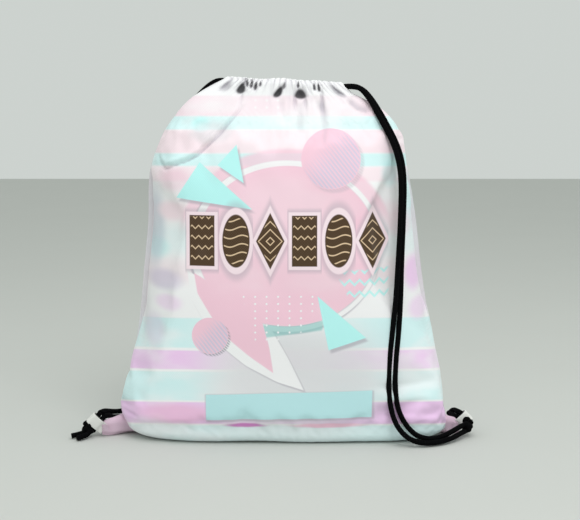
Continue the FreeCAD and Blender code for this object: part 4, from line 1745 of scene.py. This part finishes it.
LEFT_REAR = CordRoute(
    "left_rear_strand",
    (
        (-52.0, 3.4, 327.4), (-59.0, 4.4, 328.4), (-66.0, 8.6, 325.6), (-74.6, 15.4, 316.8),
        (-87.0, 23.4, 300.8), (-94.4, 31.0, 286.6), (-100.0, 37.0, 273.0), (-104.0, 41.6, 257.6),
        (-106.0, 46.0, 238.6), (-106.6, 51.6, 204.0), (-105.6, 55.8, 168.6), (-104.4, 58.8, 133.2),
        (-103.4, 60.4, 106.2), (-103.6, 61.2, 81.0), (-105.8, 61.4, 59.0), (-110.2, 60.8, 40.4),
        (-117.0, 58.8, 25.4), (-125.6, 54.8, 14.6), (-135.4, 48.4, 8.4), (-145.4, 39.4, 6.4),
        (-153.0, 28.2, 6.0), (-158.6, 17.0, 7.6), (-161.6, 6.0, 10.2), (-162.8, -5.0, 13.2),
        (-163.4, -14.6, 16.8), (-164.8, -22.4, 18.9), (-167.3, -26.4, 19.0),
    ),
)
LEFT_FRONT = CordRoute(
    "left_front_strand",
    (
        (-52.0, -2.4, 327.4), (-59.4, -1.6, 328.2), (-67.2, 2.6, 325.0), (-77.4, 9.4, 316.0),
        (-90.6, 18.8, 301.8), (-98.2, 26.2, 286.6), (-103.4, 31.8, 271.6), (-108.2, 36.6, 256.6),
        (-111.2, 40.6, 238.2), (-111.6, 46.4, 203.6), (-110.8, 51.4, 168.2), (-110.0, 55.2, 132.8),
        (-109.8, 57.4, 106.0), (-110.6, 58.4, 82.4), (-113.4, 58.0, 62.0), (-118.4, 56.2, 44.8),
        (-125.2, 52.6, 30.6), (-133.4, 47.0, 19.0), (-142.6, 39.4, 12.4), (-151.2, 30.2, 11.0),
        (-158.4, 19.6, 12.2), (-163.0, 9.0, 14.6), (-166.0, -2.0, 17.8), (-167.6, -12.0, 20.6),
        (-169.0, -20.6, 22.4), (-171.0, -25.7, 22.2),
    ),
)
FRONT_CREASES = (
    Crease(
        (
            (-34.0, 308.0), (-46.0, 294.0), (-56.0, 283.0), (-67.0, 272.0), (-77.0, 262.5),
            (-87.0, 257.0), (-97.0, 253.5), (-107.0, 250.0), (-113.0, 256.0), (-115.0, 266.0),
        ),
        2.4, 1.5, 1.6,
    ),
    Crease(((27.0, 314.0), (36.0, 300.0), (37.0, 284.0), (35.0, 268.0)), 1.6, 4.0, 0.8),
    Crease(((58.0, 312.0), (68.0, 304.0), (80.0, 300.0)), 3.0, 4.0, 1.0),
    Crease(((-3.0, 313.0), (-1.0, 300.0), (3.0, 286.0)), 1.4, 4.0),
    Crease(((14.0, 312.0), (15.0, 298.0), (12.0, 280.0)), 1.2, 4.5),
    Crease(((-139.0, 60.0), (-128.0, 110.0), (-121.0, 170.0), (-119.0, 225.0)), 1.2, 9.0, 0.6),
)
BACK_CREASES = (
    Crease(((-30.0, 308.0), (-48.0, 288.0), (-60.0, 262.0)), 2.2, 4.0, 1.2),
    Crease(((24.0, 308.0), (40.0, 284.0), (62.0, 262.0)), 2.4, 4.0, 1.2),
    Crease(((0.0, 310.0), (4.0, 286.0), (0.0, 258.0)), 1.5, 5.0),
    Crease(((-90.0, 230.0), (-70.0, 214.0), (-44.0, 208.0)), 1.2, 6.0),
)


HEM_ROW = np.linspace(159.0, 21.0, 60)
HEM_ROW_INSET = 5.7
HEM_ROW_DROP = 4.6


def main() -> None:
    """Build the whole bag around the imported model."""
    logging.basicConfig(level=logging.INFO, format="%(message)s")
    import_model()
    studio = Studio()
    studio.camera()
    cord = BraidFinish().make()
    braid = Braid()
    straps = [
        CarryingCord("right_strap", (RIGHT_FRONT, RIGHT_REAR), braid),
        CarryingCord("left_strap", (LEFT_REAR, LEFT_FRONT), braid),
    ]
    for strap in straps:
        strap.make(cord)
    form = BagForm()
    for held in (
        HeldCord("right_cord_in_hem", form, RIGHT_FRONT, RIGHT_REAR, -47.5, 3.3, braid),
        HeldCord("left_cord_in_hem", form, LEFT_FRONT, LEFT_REAR, 50.5, -3.3, braid),
    ):
        LOG.info("%s", held.make(cord).name)
    front_print = PrintedCloth("printed_cloth_front").make()
    back_print = PrintedCloth("printed_cloth_back", motifs=False).make()
    inside = PlainWeave("cloth_inside", dye(232, 228, 233), 0.9, 0.15).make()
    webbing = PlainWeave("webbing", dye(240, 240, 236), 1.2, 0.3).make()
    thread = PlainWeave("thread", dye(240, 232, 238), 0.5, 0.1).make()
    tacking = PlainWeave("tack_thread", dye(222, 198, 214), 0.5, 0.1).make()
    turned = PlainWeave("corner_cloth", dye(226, 198, 216), 0.8, 0.15).make()
    body = BagBody(
        form,
        creases={Face.FRONT: FRONT_CREASES, Face.BACK: BACK_CREASES},
        pleats={Face.FRONT: FRONT_PLEATS, Face.BACK: BACK_PLEATS},
        ruffles={Face.FRONT: FRONT_RUFFLES, Face.BACK: BACK_RUFFLES},
    )
    body.make({Face.FRONT: front_print, Face.BACK: back_print})
    for side, finish in ((Face.FRONT, front_print), (Face.BACK, back_print)):
        GatheredHem(form, side).make(finish)
    corners = [
        CornerLoop(
            Side.LEFT,
            (-169.2, -27.0, 9.4),
            (168.0, -27.0),
            (-180.8, -28.0, 8.0),
            (
                ((-181.6, -29.6, 6.6), (-187.6, -33.2, 4.0), (-196.0, -36.0, 3.0)),
                ((-179.6, -31.0, 6.0), (-182.6, -38.0, 3.6), (-189.4, -44.0, 3.0)),
            ),
            braid,
        ),
        CornerLoop(
            Side.RIGHT,
            (162.0, -19.0, 9.6),
            (162.4, -19.0),
            (170.8, -26.4, 10.2),
            (
                ((160.0, -14.0, 16.4), (157.5, -4.0, 15.6), (157.0, 8.0, 13.5)),
                ((162.5, -12.0, 20.4), (160.0, 0.0, 19.0), (159.0, 9.0, 14.5)),
            ),
            braid,
            lead=6.0,
            roll=1.15,
        ),
    ]
    for corner in corners:
        corner.ear(turned)
        corner.strap(webbing)
        corner.tie(cord)
    for node in ("left_side_seam", "right_side_seam", "bottom_seam"):
        dressed(bpy.data.objects[node], inside)
    for node in ("left_seam_thread", "right_seam_thread"):
        dressed(bpy.data.objects[node], thread)
    for node in ("left_bar_tack", "right_bar_tack"):
        dressed(bpy.data.objects[node], tacking)
    stitcher = Stitcher()
    for side in Face:
        line = []
        for degrees in HEM_ROW:
            centre, outward = form.mouth(float(degrees), side)
            line.append(centre - outward * HEM_ROW_INSET - np.array([0, 0, HEM_ROW_DROP]))
        label = side.name.lower()
        stitcher.sew(f"{label}_hem_stitches", [line], f"{label}_hem_thread", thread)
    studio.floor()
    studio.lights()


if __name__ == "__main__":
    main()
